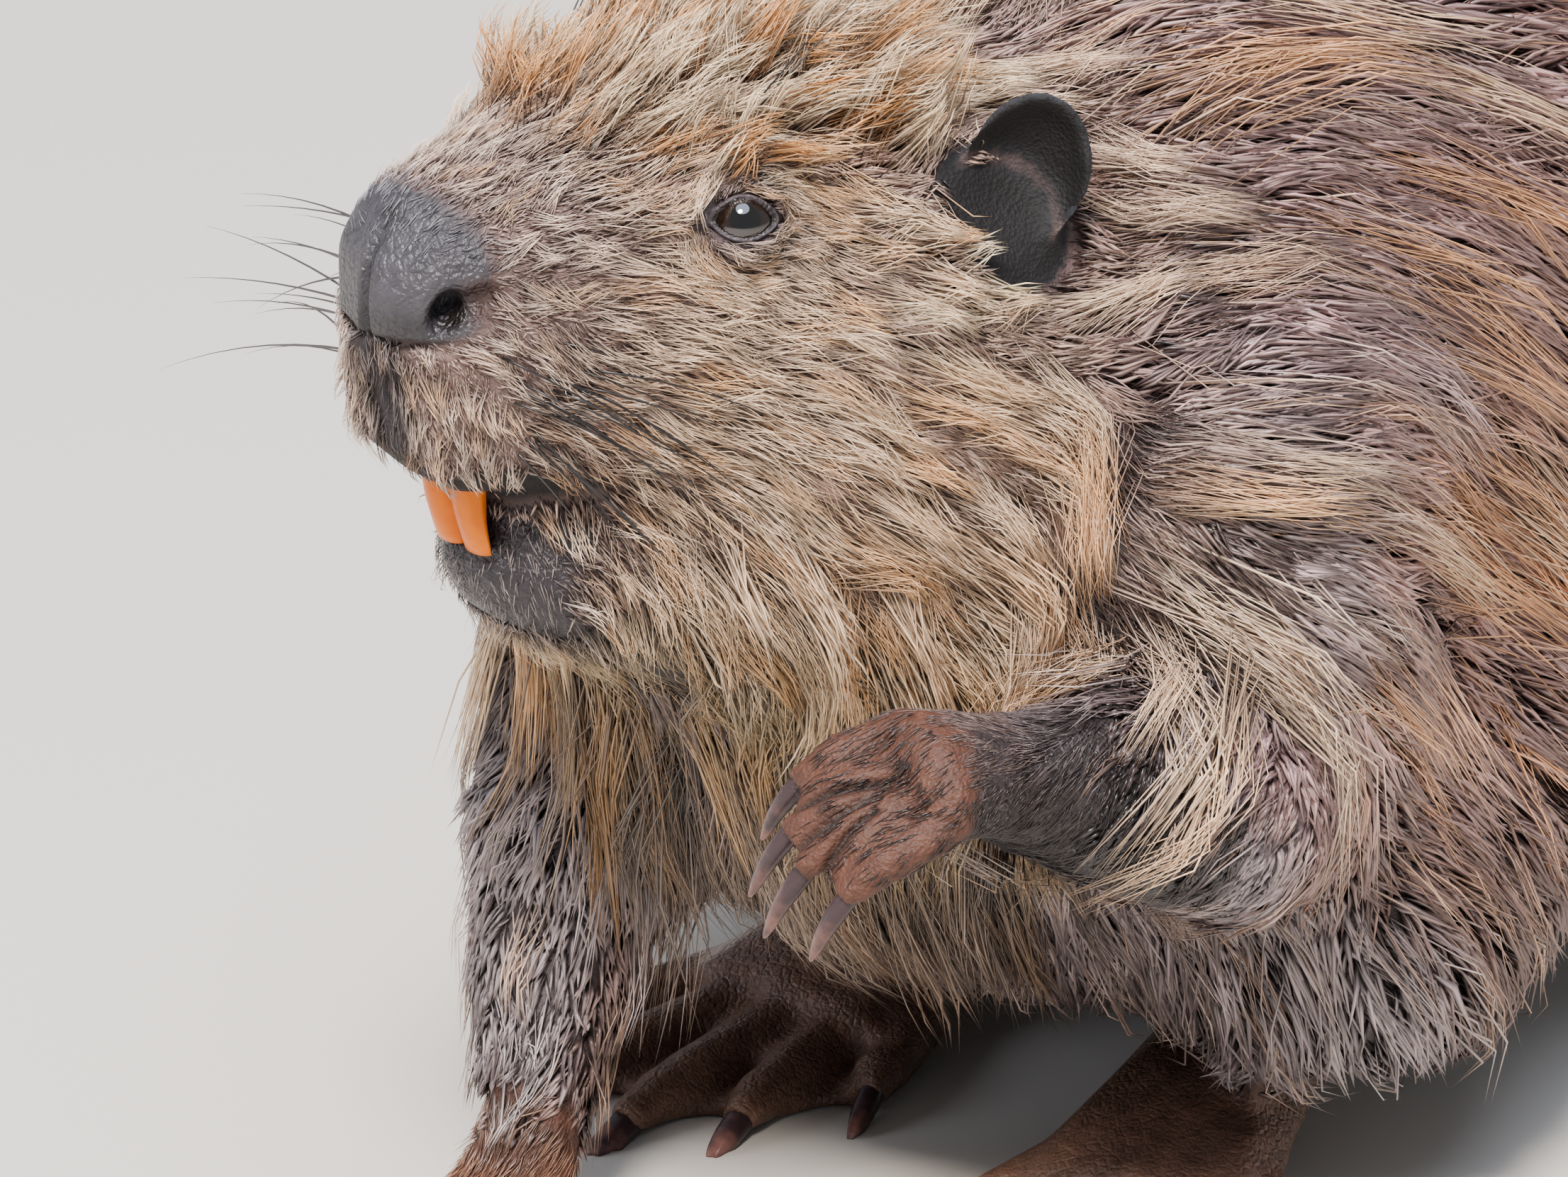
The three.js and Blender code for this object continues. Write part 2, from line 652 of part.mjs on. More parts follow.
// An ear: a thin upright bowl that opens outward and a little forward.
function ear(hand) {
  const { at, radii, turn, lean, wall } = EAR;
  const place = new THREE.Matrix4()
    .multiply(HEAD_FRAME)
    .multiply(new THREE.Matrix4().setPosition(hand * at[0], at[1], at[2]))
    .multiply(new THREE.Matrix4().makeRotationZ(hand * -degToRad(turn)))
    .multiply(new THREE.Matrix4().makeRotationX(-degToRad(lean)));
  const bowl = (shift, shrink) =>
    solidOf(
      new THREE.SphereGeometry(1, 8, 6),
      place
        .clone()
        .multiply(new THREE.Matrix4().setPosition(hand * shift, 0, 0))
        .scale(point(radii.map((r) => r - shrink))),
    );
  return bowl(0, 0).subtract(bowl(EAR.hollow, wall));
}

// The block that holds the head, the room its surface is meshed in, and the room its mouth opens in.
const HEAD_BLOCK = { low: [-120, -60, -97], high: [120, 140, 120] };
const HEAD_ROOM = { low: [-62, -4, -95], high: [62, 150, 48], margin: 14 };
const MOUTH_ROOM = { halfWidth: 90, front: -40, bottom: -130 };

// The room the trunk is meshed in, and where it is cut into neck, chest, abdomen, rump and tail base.
const TRUNK_ROOM = { low: [-150, -80, -30], high: [150, 520, 345] };
const TRUNK_CUTS = { neck: [[0, 20, 190], [0, -0.74, 0.67]], chest: 100, abdomen: 295, tail: 432 };

function headNodes(arms) {
  const { mouthBack, lip, slope } = MOUTH;
  const { low, high, margin } = HEAD_ROOM;
  const corners = [low, [high[0], low[1], high[2]], [low[0], high[1], low[2]], high].map(onHead);
  const block = headBox(HEAD_BLOCK.low, HEAD_BLOCK.high);
  const head = clearOf(bodyNear(corners, margin, CELL.head).intersect(block), ...arms);
  const socket = [HEAD.eyeRadius, HEAD.eyeRadius, HEAD.eyeRadius];
  const { eye: [eyeLeft, eyeBack, eyeUp] } = HEAD;
  const eyes = [1, -1].map((hand) => ball(onHead([hand * eyeLeft, eyeBack, eyeUp]), socket, 10));
  const teeth = [1, -1].map(incisor);
  const ears = [1, -1].map(ear);
  const { halfWidth, front, bottom } = MOUTH_ROOM;
  const mouthTo = (back, top) => headBox([-halfWidth, front, bottom], [halfWidth, back, top]);
  const mouth = mouthTo(mouthBack, lip);
  const below = mouthTo(mouthBack - GAP, lip - GAP);
  const [jaw] = cut(head.intersect(below), onHead([0, mouthBack, lip - GAP]), headward([0, slope, -1]));
  node('head', clearOf(head.subtract(mouth), ...eyes, ...teeth), 'coat');
  node('lower_jaw', clearOf(jaw, ...teeth), 'coat');
  ['left', 'right'].forEach((side, i) => {
    node(`eye_${side}`, eyes[i], 'eye');
    node(`incisor_${side}`, teeth[i], 'enamel');
    node(`ear_${side}`, clearOf(ears[i], head), 'skin');
  });
  return block;
}

function trunkNodes(neighbours) {
  const surface = skinOf(bodyField, TRUNK_ROOM.low, TRUNK_ROOM.high, CELL.torso);
  const whole = solidOf(surface).intersect(ABOVE_FLOOR);
  const trunk = clearOf(whole, ...neighbours);
  const [neck, behindNeck] = cut(trunk, ...TRUNK_CUTS.neck);
  const across = (solid, y) => cut(solid, [0, y, 0], [0, -1, 0]);
  const [chest, behindChest] = across(behindNeck, TRUNK_CUTS.chest);
  const [abdomen, hindquarters] = across(behindChest, TRUNK_CUTS.abdomen);
  const [rump, behindRump] = across(hindquarters, TRUNK_CUTS.tail);
  const [tailBase] = across(behindRump, TAIL.start);
  const pieces = { neck, chest, abdomen, rump, tail_base: tailBase };
  Object.entries(pieces).forEach(([name, solid]) => node(name, solid, 'coat'));
}

function tailNode() {
  const { start, height, root, sink, bend, flat } = TAIL;
  const length = TAIL_STATIONS[TAIL_STATIONS.length - 1][0];
  const stations = TAIL_STATIONS.map(([back, halfWidth, halfThickness]) => {
    const along = Math.max(back, 0) / length;
    const rise = back < root ? height - back * sink : 0;
    return [bend * along ** 2, start + back, Math.max(halfThickness - flat, rise), halfWidth, halfThickness];
  });
  const whole = swept(stations, [1, 0, 0], { sides: 10, rings: 9 }).intersect(ABOVE_FLOOR);
  const [tail] = cut(whole, [0, start, 0], [0, 1, 0]);
  node('tail', tail, 'tail');
}

const arms = [...armNodes('left', ARMS.left), ...armNodes('right', ARMS.right)];
const legs = [
  ...legNodes('left', LEGS.left, mirrored(TOES), arms),
  ...legNodes('right', LEGS.right, TOES, arms),
];
trunkNodes([headNodes(arms), ...arms, ...legs]);
tailNode();

// The origin is under the middle of the whole animal, on the floor.
const box = new THREE.Box3().setFromObject(animal);
animal.position.set(-(box.min.x + box.max.x) / 2, -(box.min.y + box.max.y) / 2, -box.min.z);

export default animal;
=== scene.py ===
"""A life-size Eurasian beaver, hunched on its haunches with one forepaw lifted, as a still museum model.

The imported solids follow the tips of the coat. One skin lies inside them by the coat's depth, and the coat
grows from that skin as solid tapered hairs and locks that follow the lie of the fur. All is in metres,
except where a name or comment says millimetres.
"""

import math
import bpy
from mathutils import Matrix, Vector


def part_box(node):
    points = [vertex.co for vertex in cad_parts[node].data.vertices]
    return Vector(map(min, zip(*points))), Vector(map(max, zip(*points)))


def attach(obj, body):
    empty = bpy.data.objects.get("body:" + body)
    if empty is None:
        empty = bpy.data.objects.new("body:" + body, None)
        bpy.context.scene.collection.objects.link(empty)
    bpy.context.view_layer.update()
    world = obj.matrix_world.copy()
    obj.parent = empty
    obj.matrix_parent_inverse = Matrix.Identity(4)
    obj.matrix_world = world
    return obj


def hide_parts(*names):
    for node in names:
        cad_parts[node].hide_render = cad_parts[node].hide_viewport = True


bl_info = {
    "name": "Eurasian beaver",
    "version": (1, 0, 0),
    "blender": (4, 5, 0),
    "location": "3D View > Sidebar > Beaver",
    "description": "Builds a life-size beaver: skin, eyes, teeth, claws, tail scales, coat and whiskers",
    "category": "Add Mesh",
}

import bmesh
import bpy
import numpy as np
from bpy.props import FloatProperty, FloatVectorProperty, PointerProperty
from mathutils import Matrix, Vector
from mathutils.bvhtree import BVHTree
from mathutils.kdtree import KDTree

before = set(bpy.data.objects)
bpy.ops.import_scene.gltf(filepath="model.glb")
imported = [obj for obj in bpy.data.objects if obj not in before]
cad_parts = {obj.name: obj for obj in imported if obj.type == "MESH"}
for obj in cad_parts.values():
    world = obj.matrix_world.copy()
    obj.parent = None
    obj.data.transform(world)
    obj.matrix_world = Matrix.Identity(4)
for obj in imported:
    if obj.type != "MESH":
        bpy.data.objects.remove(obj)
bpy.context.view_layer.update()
MM = 0.001

# ------------------------------------------------------------------ landmarks

# The head's frame: left, back and up, turned to the animal's right and raised. Places are in millimetres
# from the nose pad's front.
HEAD_AXES = np.array(Matrix.Rotation(math.radians(-20), 3, "Z") @ Matrix.Rotation(math.radians(-8), 3, "X"))
EYE_AT = np.array((34.5, 62.0, 15.5))
EYE_RADIUS = 7.0
EYE_AXIS = np.array((0.76, -0.56, 0.33)) / np.linalg.norm((0.76, -0.56, 0.33))
LEFT_EYE_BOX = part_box("eye_left")
NOSE = np.array((LEFT_EYE_BOX[0] + LEFT_EYE_BOX[1]) / 2) - HEAD_AXES @ EYE_AT * MM
EAR = {"at": (50, 121, 23), "radii": (9.0, 14.0, 19.0), "turn": 38, "lean": 12}
NOSTRIL_AT = np.array((17.5, 4.0, -2.5))

# Each side's sign along the frame's left.
SIDES = {"left": 1, "right": -1}

# Each kind of flesh, in mm: how deep its coat is, how widely its solids' facets are smoothed away, and how
# long its hair is. The head's own depths and lengths follow its shape.
FLESH = {
    "head": (3.0, 4.2, 13),
    "lower_jaw": (2.4, 3.5, 13),
    "neck": (9, 15, 52),
    "chest": (11, 16, 44),
    "abdomen": (12, 17, 46),
    "rump": (12, 17, 46),
    "tail_base": (8, 13, 34),
    "tail": (0.3, 4, 5),
    "upper_arm": (9, 10, 42),
    "forearm_left": (2.0, 4.5, 16),
    "forearm_right": (5, 5, 20),
    "thigh": (11, 14, 46),
    "shank": (4, 6, 18),
    "forepaw": (0.2, 1.0, 6),
    "hind_foot": (0.3, 1.8, 5),
    "ear": (0.2, 1.2, 6),
}
DEPTH, SPREAD, LENGTH = range(3)
KINDS = list(FLESH)
BLACK = (0.0, 0.0, 0.0)
HEAD_KINDS = ("head", "lower_jaw", "ear")
SKIN_NODES = [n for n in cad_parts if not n.startswith(("eye", "incisor", "fore_claw", "hind_claw"))]
# The cell size at which the joined flesh is made into one skin.
VOXEL = 1.6 * MM
# Packed corners closer than this, in metres, are one corner.
MERGE_DISTANCE = 1e-5
# What rests on the ground stays at least this far above it.
FLOOR_GAP = 0.1 * MM
# The share of its triangles that the skin keeps.
SKIN_SHARE = 0.24
# Hairs that reach the ground lie at least this far above it.
HAIR_FLOOR_GAP = 0.6 * MM
# Passes that relax() runs before it looks again at which vertices still need them.
RELAX_BATCH = 12
# How many steps a vertex group's weights are rounded to.
WEIGHT_STEPS = 5
# The first coat layer's random seed. Each next layer's is one more.
COAT_SEED = 70
# Coat hairs keep this far from the eyes, claws, teeth and the lifted paw.
CLEARANCE = 1.5 * MM

# ------------------------------------------------------------------ small helpers


def linear(code):
    """An sRGB hex colour as linear red, green, blue and alpha."""
    parts = [int(code[i : i + 2], 16) / 255 for i in (1, 3, 5)]
    return (*[c / 12.92 if c <= 0.04045 else ((c + 0.055) / 1.055) ** 2.4 for c in parts], 1.0)


def rgb(code):
    """An sRGB hex colour as linear red, green and blue."""
    return np.array(linear(code)[:3])


def connect(tree, node, inputs):
    """Links a node's inputs to other nodes, or sets them to values."""
    for key, value in inputs.items():
        if isinstance(value, bpy.types.NodeSocket):
            tree.links.new(value, node.inputs[key])
        else:
            node.inputs[key].default_value = value


def add(tree, kind, inputs, **settings):
    """Adds a node with its settings, its input values and its links."""
    made = tree.nodes.new(kind)
    for name, value in settings.items():
        setattr(made, name, value)
    connect(tree, made, inputs)
    return made


def new_material(name):
    """An empty material, the tree in it and its Principled shader."""
    material = bpy.data.materials.new(name)
    material.use_nodes = True
    tree = material.node_tree
    tree.nodes.clear()
    shader = tree.nodes.new("ShaderNodeBsdfPrincipled")
    add(tree, "ShaderNodeOutputMaterial", {"Surface": shader.outputs[0]})
    return material, tree, shader


def attribute(tree, name, output="Fac"):
    """A number that the mesh carries, or a colour where the output is "Color"."""
    return add(tree, "ShaderNodeAttribute", {}, attribute_name=name).outputs[output]


def own_place(tree):
    """Where a point is in its object's frame."""
    return add(tree, "ShaderNodeTexCoord", {}).outputs["Object"]


def noise(tree, at, scale, detail):
    """A soft random number at each place."""
    return add(tree, "ShaderNodeTexNoise", {"Vector": at, "Scale": scale, "Detail": detail}).outputs["Fac"]


def ranged(tree, value, start=(0.0, 1.0), end=(0.0, 1.0), **settings):
    """A number moved from one range to another."""
    inputs = dict(enumerate((value, *start, *end)))
    return add(tree, "ShaderNodeMapRange", inputs, **settings).outputs[0]


def maths(tree, operation, a, b):
    """The sum or product of two numbers."""
    return add(tree, "ShaderNodeMath", {0: a, 1: b}, operation=operation).outputs[0]


def mixed(tree, share, low, high):
    """A colour between two others."""
    return add(tree, "ShaderNodeMix", {0: share, 6: low, 7: high}, data_type="RGBA").outputs[2]


def bumped(tree, height, strength, distance):
    """The normal of a surface that a height raises by up to a distance in metres."""
    inputs = {"Height": height, "Strength": strength, "Distance": distance}
    return add(tree, "ShaderNodeBump", inputs).outputs[0]


def smooth_step(low, high, x):
    """From 0 at low to 1 at high, eased at both ends."""
    t = np.clip((x - low) / (high - low), 0, 1)
    return t * t * (3 - 2 * t)


def bell(x, middle, width):
    """A smooth hump of height one."""
    return np.exp(-(((x - middle) / width) ** 2))


def unit(vectors):
    """The vectors at length one."""
    return vectors / np.maximum(np.linalg.norm(vectors, axis=-1, keepdims=True), 1e-12)


def dot(a, b):
    """Each row's product with its partner."""
    return (a * b).sum(-1)


def blend(a, b, share):
    """From a to b by each row's share."""
    share = np.asarray(share)[:, None]
    return a * (1 - share) + b * share


def painted(base, patches):
    """A colour at each point, painted over by patches: each patch's colour and where it lies."""
    for colour, where in patches:
        base = blend(base, np.array(colour), where)
    return base


def ripple(points, wavelength, seed):
    """A smooth random number from about -1 to 1 at each point, from a few crossing waves."""
    random = np.random.default_rng(seed)
    total = np.zeros(len(points))
    for _ in range(7):
        way = unit(random.normal(size=3))
        stretch = random.uniform(0.6, 1.6)
        shift = random.uniform(0, 6.3)
        total += np.sin(points @ way * (2 * np.pi / wavelength) * stretch + shift)
    return total / 3


def read(items, key, width, kind=np.float32):
    """One property of all of a mesh's vertices, edges or faces."""
    found = np.empty(len(items) * width, kind)
    items.foreach_get(key, found)
    return found.reshape(-1, width) if width > 1 else found


def set_points(mesh, points):
    """Moves all of a mesh's vertices."""
    mesh.vertices.foreach_set("co", points.astype(np.float32).ravel())
    mesh.update()


def mesh_of(bm, name):
    """Turns a working mesh into a finished one."""
    mesh = bpy.data.meshes.new(name)
    bm.to_mesh(mesh)
    bm.free()
    return mesh


def middle_of(node):
    """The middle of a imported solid's box."""
    return sum(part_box(node), Vector()) / 2


def from_pair(places, at):
    """How far places are from the nearer of a spot and its mirror image across the head's middle."""
    return np.minimum(*[np.linalg.norm(places * (hand, 1, 1) - at, axis=1) for hand in SIDES.values()])


def mesh_from(name, points, triangles):
    """A mesh of triangles from arrays."""
    mesh = bpy.data.meshes.new(name)
    mesh.vertices.add(len(points))
    mesh.vertices.foreach_set("co", np.ascontiguousarray(points, np.float32).ravel())
    mesh.loops.add(triangles.size)
    mesh.loops.foreach_set("vertex_index", np.ascontiguousarray(triangles, np.int32).ravel())
    mesh.polygons.add(len(triangles))
    mesh.polygons.foreach_set("loop_start", np.arange(0, triangles.size, 3, dtype=np.int32))
    mesh.update(calc_edges=True)
    return mesh


def put_attribute(mesh, name, values):
    """Stores a number or a colour at each vertex."""
    kind = "FLOAT" if values.ndim == 1 else "FLOAT_COLOR"
    layer = mesh.attributes.new(name, kind, "POINT")
    if values.ndim == 1:
        layer.data.foreach_set("value", np.ascontiguousarray(values, np.float32))
    else:
        full = np.ones((len(values), 4), np.float32)
        full[:, :3] = values
        layer.data.foreach_set("color", full.ravel())


def place(name, mesh, material, replaced=()):
    """Shows a finished mesh as a smooth-shaded piece of the beaver."""
    piece = bpy.data.objects.new(name, mesh)
    bpy.context.scene.collection.objects.link(piece)
    mesh.materials.clear()
    mesh.materials.append(material)
    mesh.polygons.foreach_set("use_smooth", np.ones(len(mesh.polygons), bool))
    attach(piece, "root")
    if replaced:
        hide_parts(*replaced)
    return piece


def worked(mesh, kind, group=None, **settings):
    """The mesh with one modifier worked into it, steered by a vertex group where one is given."""
    holder = bpy.data.objects.new("work", mesh)
    bpy.context.scene.collection.objects.link(holder)
    modifier = holder.modifiers.new(kind, kind)
    if group is not None:
        steering = holder.vertex_groups.new(name="steering")
        for level in range(WEIGHT_STEPS + 1):
            chosen = np.flatnonzero(np.round(group * WEIGHT_STEPS) == level)
            steering.add(chosen.tolist(), level / WEIGHT_STEPS, "REPLACE")
        settings["vertex_group"] = "steering"
    for name, value in settings.items():
        setattr(modifier, name, value)
    made = bpy.data.meshes.new_from_object(holder.evaluated_get(bpy.context.evaluated_depsgraph_get()))
    bpy.data.objects.remove(holder)
    made.materials.clear()
    return made


def neighbours(mesh):
    """Each edge both ways, sorted by where it starts."""
    edges = read(mesh.edges, "vertices", 2, np.int32)
    both = np.concatenate([edges, edges[:, ::-1]])
    return both[np.argsort(both[:, 0], kind="stable")]


def relax(both, values, passes):
    """Averages each vertex's values with its neighbours', as many times as its own number of passes."""
    values = values.copy()
    passes = np.broadcast_to(np.asarray(passes, float), len(values))
    for start in range(0, int(np.ceil(passes.max())), RELAX_BATCH):
        mine = both[passes[both[:, 0]] > start]
        if not len(mine):
            break
        active, first, count = np.unique(mine[:, 0], return_index=True, return_counts=True)
        wide = (slice(None), None) if values.ndim > 1 else slice(None)
        for step in range(start, start + RELAX_BATCH):
            share = np.clip(passes[active] - step, 0, 1)[wide]
            mean = np.add.reduceat(values[mine[:, 1]], first, axis=0) / count[wide]
            values[active] += (mean - values[active]) * share
    return values


def softened(values, passes):
    """The skin's values, averaged with their neighbours' a number of times."""
    return relax(Hide.both, values.astype(float), passes)


def from_head(places):
    """Places in the head's frame, in millimetres, as points."""
    return NOSE + np.asarray(places, float) @ HEAD_AXES.T * MM


def in_head(points):
    """Points as places in the head's frame, in millimetres."""
    return (np.asarray(points, float) - NOSE) @ HEAD_AXES / MM


def is_one(kind, *names):
    """Where the kind is one of those named."""
    return np.isin(kind, [KINDS.index(name) for name in names])


def per_kind(measure, kind):
    """One of the measures of FLESH at each point."""
    return np.array([FLESH[k][measure] for k in KINDS], float)[kind]


def kind_of(node):
    """The kind of flesh that a node is."""
    return node if node in FLESH else node.rsplit("_", 1)[0]


# ------------------------------------------------------------------ skin


class Hide:
    """The skin's arrays that the coat grows from: points, normals, faces, kinds and markings."""


def add_ear(bm, hand):
    """Adds one ear to the flesh: an upright bowl with a rounded rim that opens outward."""
    before = set(bm.verts)
    made = bmesh.ops.create_uvsphere(bm, u_segments=40, v_segments=28, radius=1.0)["verts"]
    parts = [part for v in made for part in (v, *v.link_edges, *v.link_faces)]
    bmesh.ops.bisect_plane(
        bm,
        geom=list(dict.fromkeys(parts)),
        dist=1e-6,
        plane_co=(0.25 * hand, 0, 0),
        plane_no=(hand, 0, 0),
        clear_outer=True,
    )
    bowl = [v for v in bm.verts if v not in before]
    bmesh.ops.scale(bm, vec=Vector(EAR["radii"]) * MM, verts=bowl)
    bmesh.ops.solidify(bm, geom=list({f for v in bowl for f in v.link_faces}), thickness=3.2 * MM)
    bowl = [v for v in bm.verts if v not in before]
    turn = Matrix.Rotation(math.radians(-hand * EAR["turn"]), 4, "Z")
    lean = Matrix.Rotation(math.radians(-EAR["lean"]), 4, "X")
    at = Matrix.Translation(Vector((hand * EAR["at"][0], *EAR["at"][1:])) * MM)
    head = Matrix.Translation(Vector(NOSE)) @ Matrix(HEAD_AXES).to_4x4()
    bmesh.ops.transform(bm, matrix=head @ at @ turn @ lean, verts=bowl)


def paw_of(claw):
    """The paw that a claw grows from."""
    return claw.replace("_claw", "paw" if claw.startswith("fore") else "_foot").rsplit("_", 1)[0]


def add_cuticle(bm, claw):
    """Adds the flesh that holds a claw's root: three balls from the claw back toward the paw."""
    paw = np.array(middle_of(paw_of(claw)))
    points = read(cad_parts[claw].data.vertices, "co", 3).astype(float)
    middle = points.mean(axis=0)
    far = np.linalg.norm(points - paw, axis=1)
    base = points[far < far.min() + 2.0 * MM]
    root = base.mean(axis=0)
    radius = np.median(np.linalg.norm(base - root, axis=1)) + 0.9 * MM
    axis = unit(0.6 * unit(root - middle) + 0.4 * unit(paw - root))
    for step in range(3):
        at = root + axis * (0.4 + 2.6 * step) * MM
        at[2] = max(at[2], radius)
        ball = Matrix.Translation(Vector(at))
        bmesh.ops.create_icosphere(bm, subdivisions=2, radius=radius * (1 + 0.12 * step), matrix=ball)


def join_flesh(grow):
    """The solids of flesh in one mesh, each grown to run into its neighbours, and each face's kind."""
    bm = bmesh.new()
    layer = bm.faces.layers.int.new("kind")

    def own(kind):
        for face in bm.faces:
            if not face[layer]:
                face[layer] = KINDS.index(kind) + 1

    for node in SKIN_NODES:
        if node.startswith("ear"):
            continue
        before = set(bm.verts)
        bm.from_mesh(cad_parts[node].data)
        bmesh.ops.remove_doubles(bm, verts=[v for v in bm.verts if v not in before], dist=MERGE_DISTANCE)
        bm.normal_update()
        swell = grow + (0.4 * MM if node.startswith("forepaw") else 0)
        for v in [v for v in bm.verts if v not in before]:
            v.co += v.normal * swell
        own(kind_of(node))
    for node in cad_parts:
        if "claw" in node:
            add_cuticle(bm, node)
            own("forepaw" if node.startswith("fore") else "hind_foot")
    for hand in SIDES.values():
        add_ear(bm, hand)
        own("ear")
        # A ball a little larger than the eye fills its socket, for the lids to be drawn over.
        socket = Matrix.Translation(Vector(from_head(EYE_AT * (hand, 1, 1))))
        bmesh.ops.create_icosphere(bm, subdivisions=4, radius=(EYE_RADIUS + 0.6) * MM, matrix=socket)
        own("head")
    mesh = bpy.data.meshes.new("flesh")
    bm.to_mesh(mesh)
    bm.faces.index_update()
    kinds = np.array([face[layer] - 1 for face in bm.faces])
    tree = BVHTree.FromBMesh(bm)
    bm.free()
    return mesh, tree, kinds


def kinds_at(points, tree, kinds):
    """The kind of flesh nearest to each point."""
    return np.array([kinds[tree.find_nearest(p)[2]] for p in points])


def coat_depth(points, kind):
    """The coat's depth at each point in mm: thinnest on the lips, round the eyes and on the nose."""
    depth = per_kind(DEPTH, kind)
    places = in_head(points)
    b = places[:, 1]
    on_head = is_one(kind, "head")
    to_eye = from_pair(places, EYE_AT)
    face = 0.2 + 1.4 * smooth_step(8, 40, b) + 2.0 * smooth_step(40, 90, b) + 3.0 * smooth_step(90, 150, b)
    face *= 0.25 + 0.75 * smooth_step(10, 26, to_eye)
    return np.where(on_head, face, depth)


def refine(mesh, chosen):
    """Splits the edges between chosen vertices in two."""
    bm = bmesh.new()
    bm.from_mesh(mesh)
    bm.verts.ensure_lookup_table()
    edges = [e for e in bm.edges if chosen[e.verts[0].index] and chosen[e.verts[1].index]]
    bmesh.ops.subdivide_edges(bm, edges=edges, cuts=1, use_grid_fill=True)
    bmesh.ops.triangulate(bm, faces=[f for f in bm.faces if len(f.verts) > 3])
    bm.to_mesh(mesh)
    bm.free()


def eye_polar(points, hand):
    """Points round one eye: distance in mm, how far outside the lids' opening, and where along and up it."""
    places = in_head(points) * (hand, 1, 1) - EYE_AT
    far = np.linalg.norm(places, axis=1)
    across = unit(np.cross(EYE_AXIS, (0, 0, 1)))
    # The opening's long axis runs from a low front corner to a high back corner.
    rise = np.cross(across, EYE_AXIS)
    tilt = math.radians(-6)
    along = across * math.cos(tilt) + rise * math.sin(tilt)
    rise = np.cross(along, EYE_AXIS)
    way = places / np.maximum(far, 1e-9)[:, None]
    ahead = dot(way, EYE_AXIS)
    x = np.degrees(np.arctan2(dot(way, along), ahead)) / 52
    y = np.degrees(np.arctan2(dot(way, rise), ahead))
    y = np.where(y > 0, y / 33, y / 29)
    outside = np.sqrt(x * x + y * y + 0.12 * (x * y) ** 2) - 1
    return far, np.where(ahead > 0.05, outside, 3.0), x, y


def draw_lids(points, hand):
    """Draws the skin round one eye: behind the ball inside the opening, over it as a rolled lid outside."""
    far, outside, x, y = eye_polar(points, hand)
    near = far < 17
    lid = 0.5 + 0.4 * smooth_step(-0.2, 0.9, y) + 0.15 * smooth_step(0.6, 1.0, np.abs(x))
    rolled = EYE_RADIUS + lid * bell(outside, 0.12, 0.2) + 0.3 + 2.2 * np.clip(outside - 0.25, 0, 2)
    crease = 0.5 * bell(outside, 0.42, 0.11) + 0.3 * bell(outside, 0.78, 0.12)
    drawn = np.where(outside < 0, EYE_RADIUS - 1.6, rolled - crease)
    drawn = EYE_RADIUS - 1.6 + (drawn - EYE_RADIUS + 1.6) * smooth_step(-0.1, 0.03, outside)
    share = near * (1 - smooth_step(0.75, 1.7, outside)) * (1 - smooth_step(12, 16, far))
    want = far + (drawn - far) * share
    centre = EYE_AT * (hand, 1, 1)
    places = in_head(points)
    return from_head(centre + (places - centre) * (want / np.maximum(far, 1e-9))[:, None])


def dent(points, at, along, long, wide, deep, into):
    """Presses a soft oval dent, long one way and wide the other, deep along into. All is in mm."""
    places = in_head(points) - at
    along = unit(np.array(along, float))
    across = unit(np.cross(into, along))
    depth_way = unit(np.array(into, float))
    q = (dot(places, along) / long) ** 2 + (dot(places, across) / wide) ** 2
    near = np.abs(dot(places, depth_way)) < 12
    press = deep * np.exp(-(q**1.5)) * near
    return from_head(in_head(points) + press[:, None] * depth_way)


def carve_face(points):
    """Presses the nostrils, the groove below the nose and the lips' fold into the skin."""
    for hand in SIDES.values():
        flip = np.array((hand, 1, 1))
        points = draw_lids(points, hand)
        wing = (NOSTRIL_AT + (1.5, 4.5, 1.5)) * flip
        points = dent(points, wing, (0.25 * hand, 0.85, 0.5), 6.5, 3.0, 2.6, (-0.8 * hand, 0.45, 0))
        hole = NOSTRIL_AT * flip
        points = dent(points, hole, (0.1 * hand, 0.35, 1.0), 4.0, 2.5, 5.5, (-0.9 * hand, 0.6, 0.15))
        # The fold below the nose pad, from the middle out under the nostril.
        points = dent(points, (10 * hand, 2, -11), (hand, 0.35, 0.12), 12, 1.5, 1.6, (0, 1, 0.3))
    points = dent(points, (0, 0, -14), (0, 0.25, -1), 17, 1.5, 1.6, (0, 1, 0.2))
    points = dent(points, (0, -2, 2), (0, 0.1, -1), 9, 1.6, 0.7, (0, 1, 0.2))
    return points


def part_fingers(points, normals):
    """Presses a groove between each two neighbouring fingers, from the knuckles to the web."""
    Hide.furrow = np.zeros(len(points))
    for side in SIDES:
        wrist = np.array(middle_of("forearm_" + side))
        palm = np.array(middle_of("forepaw_" + side))
        tips = [np.array(middle_of(f"fore_claw_{side}_{i}")) for i in range(1, 6)]
        for a, b in zip(tips[1:], tips[2:]):
            end = (a + b) / 2
            start = palm + 0.15 * (wrist - palm) + 0.22 * (end - palm)
            way = end - start
            t = np.clip((points - start) @ way / (way @ way), 0, 1)
            offset = points - start - t[:, None] * way
            far = np.linalg.norm(offset, axis=1)
            aside = np.abs(offset @ unit(b - a))
            reach = smooth_step(0.0, 0.3, t) * (1 - smooth_step(0.8, 1.0, t)) * (far < 15 * MM)
            press = bell(aside, 0, 1.1 * MM) * reach
            points = points - normals * press[:, None] * 1.5 * MM
            Hide.furrow = np.maximum(Hide.furrow, press)
    return points


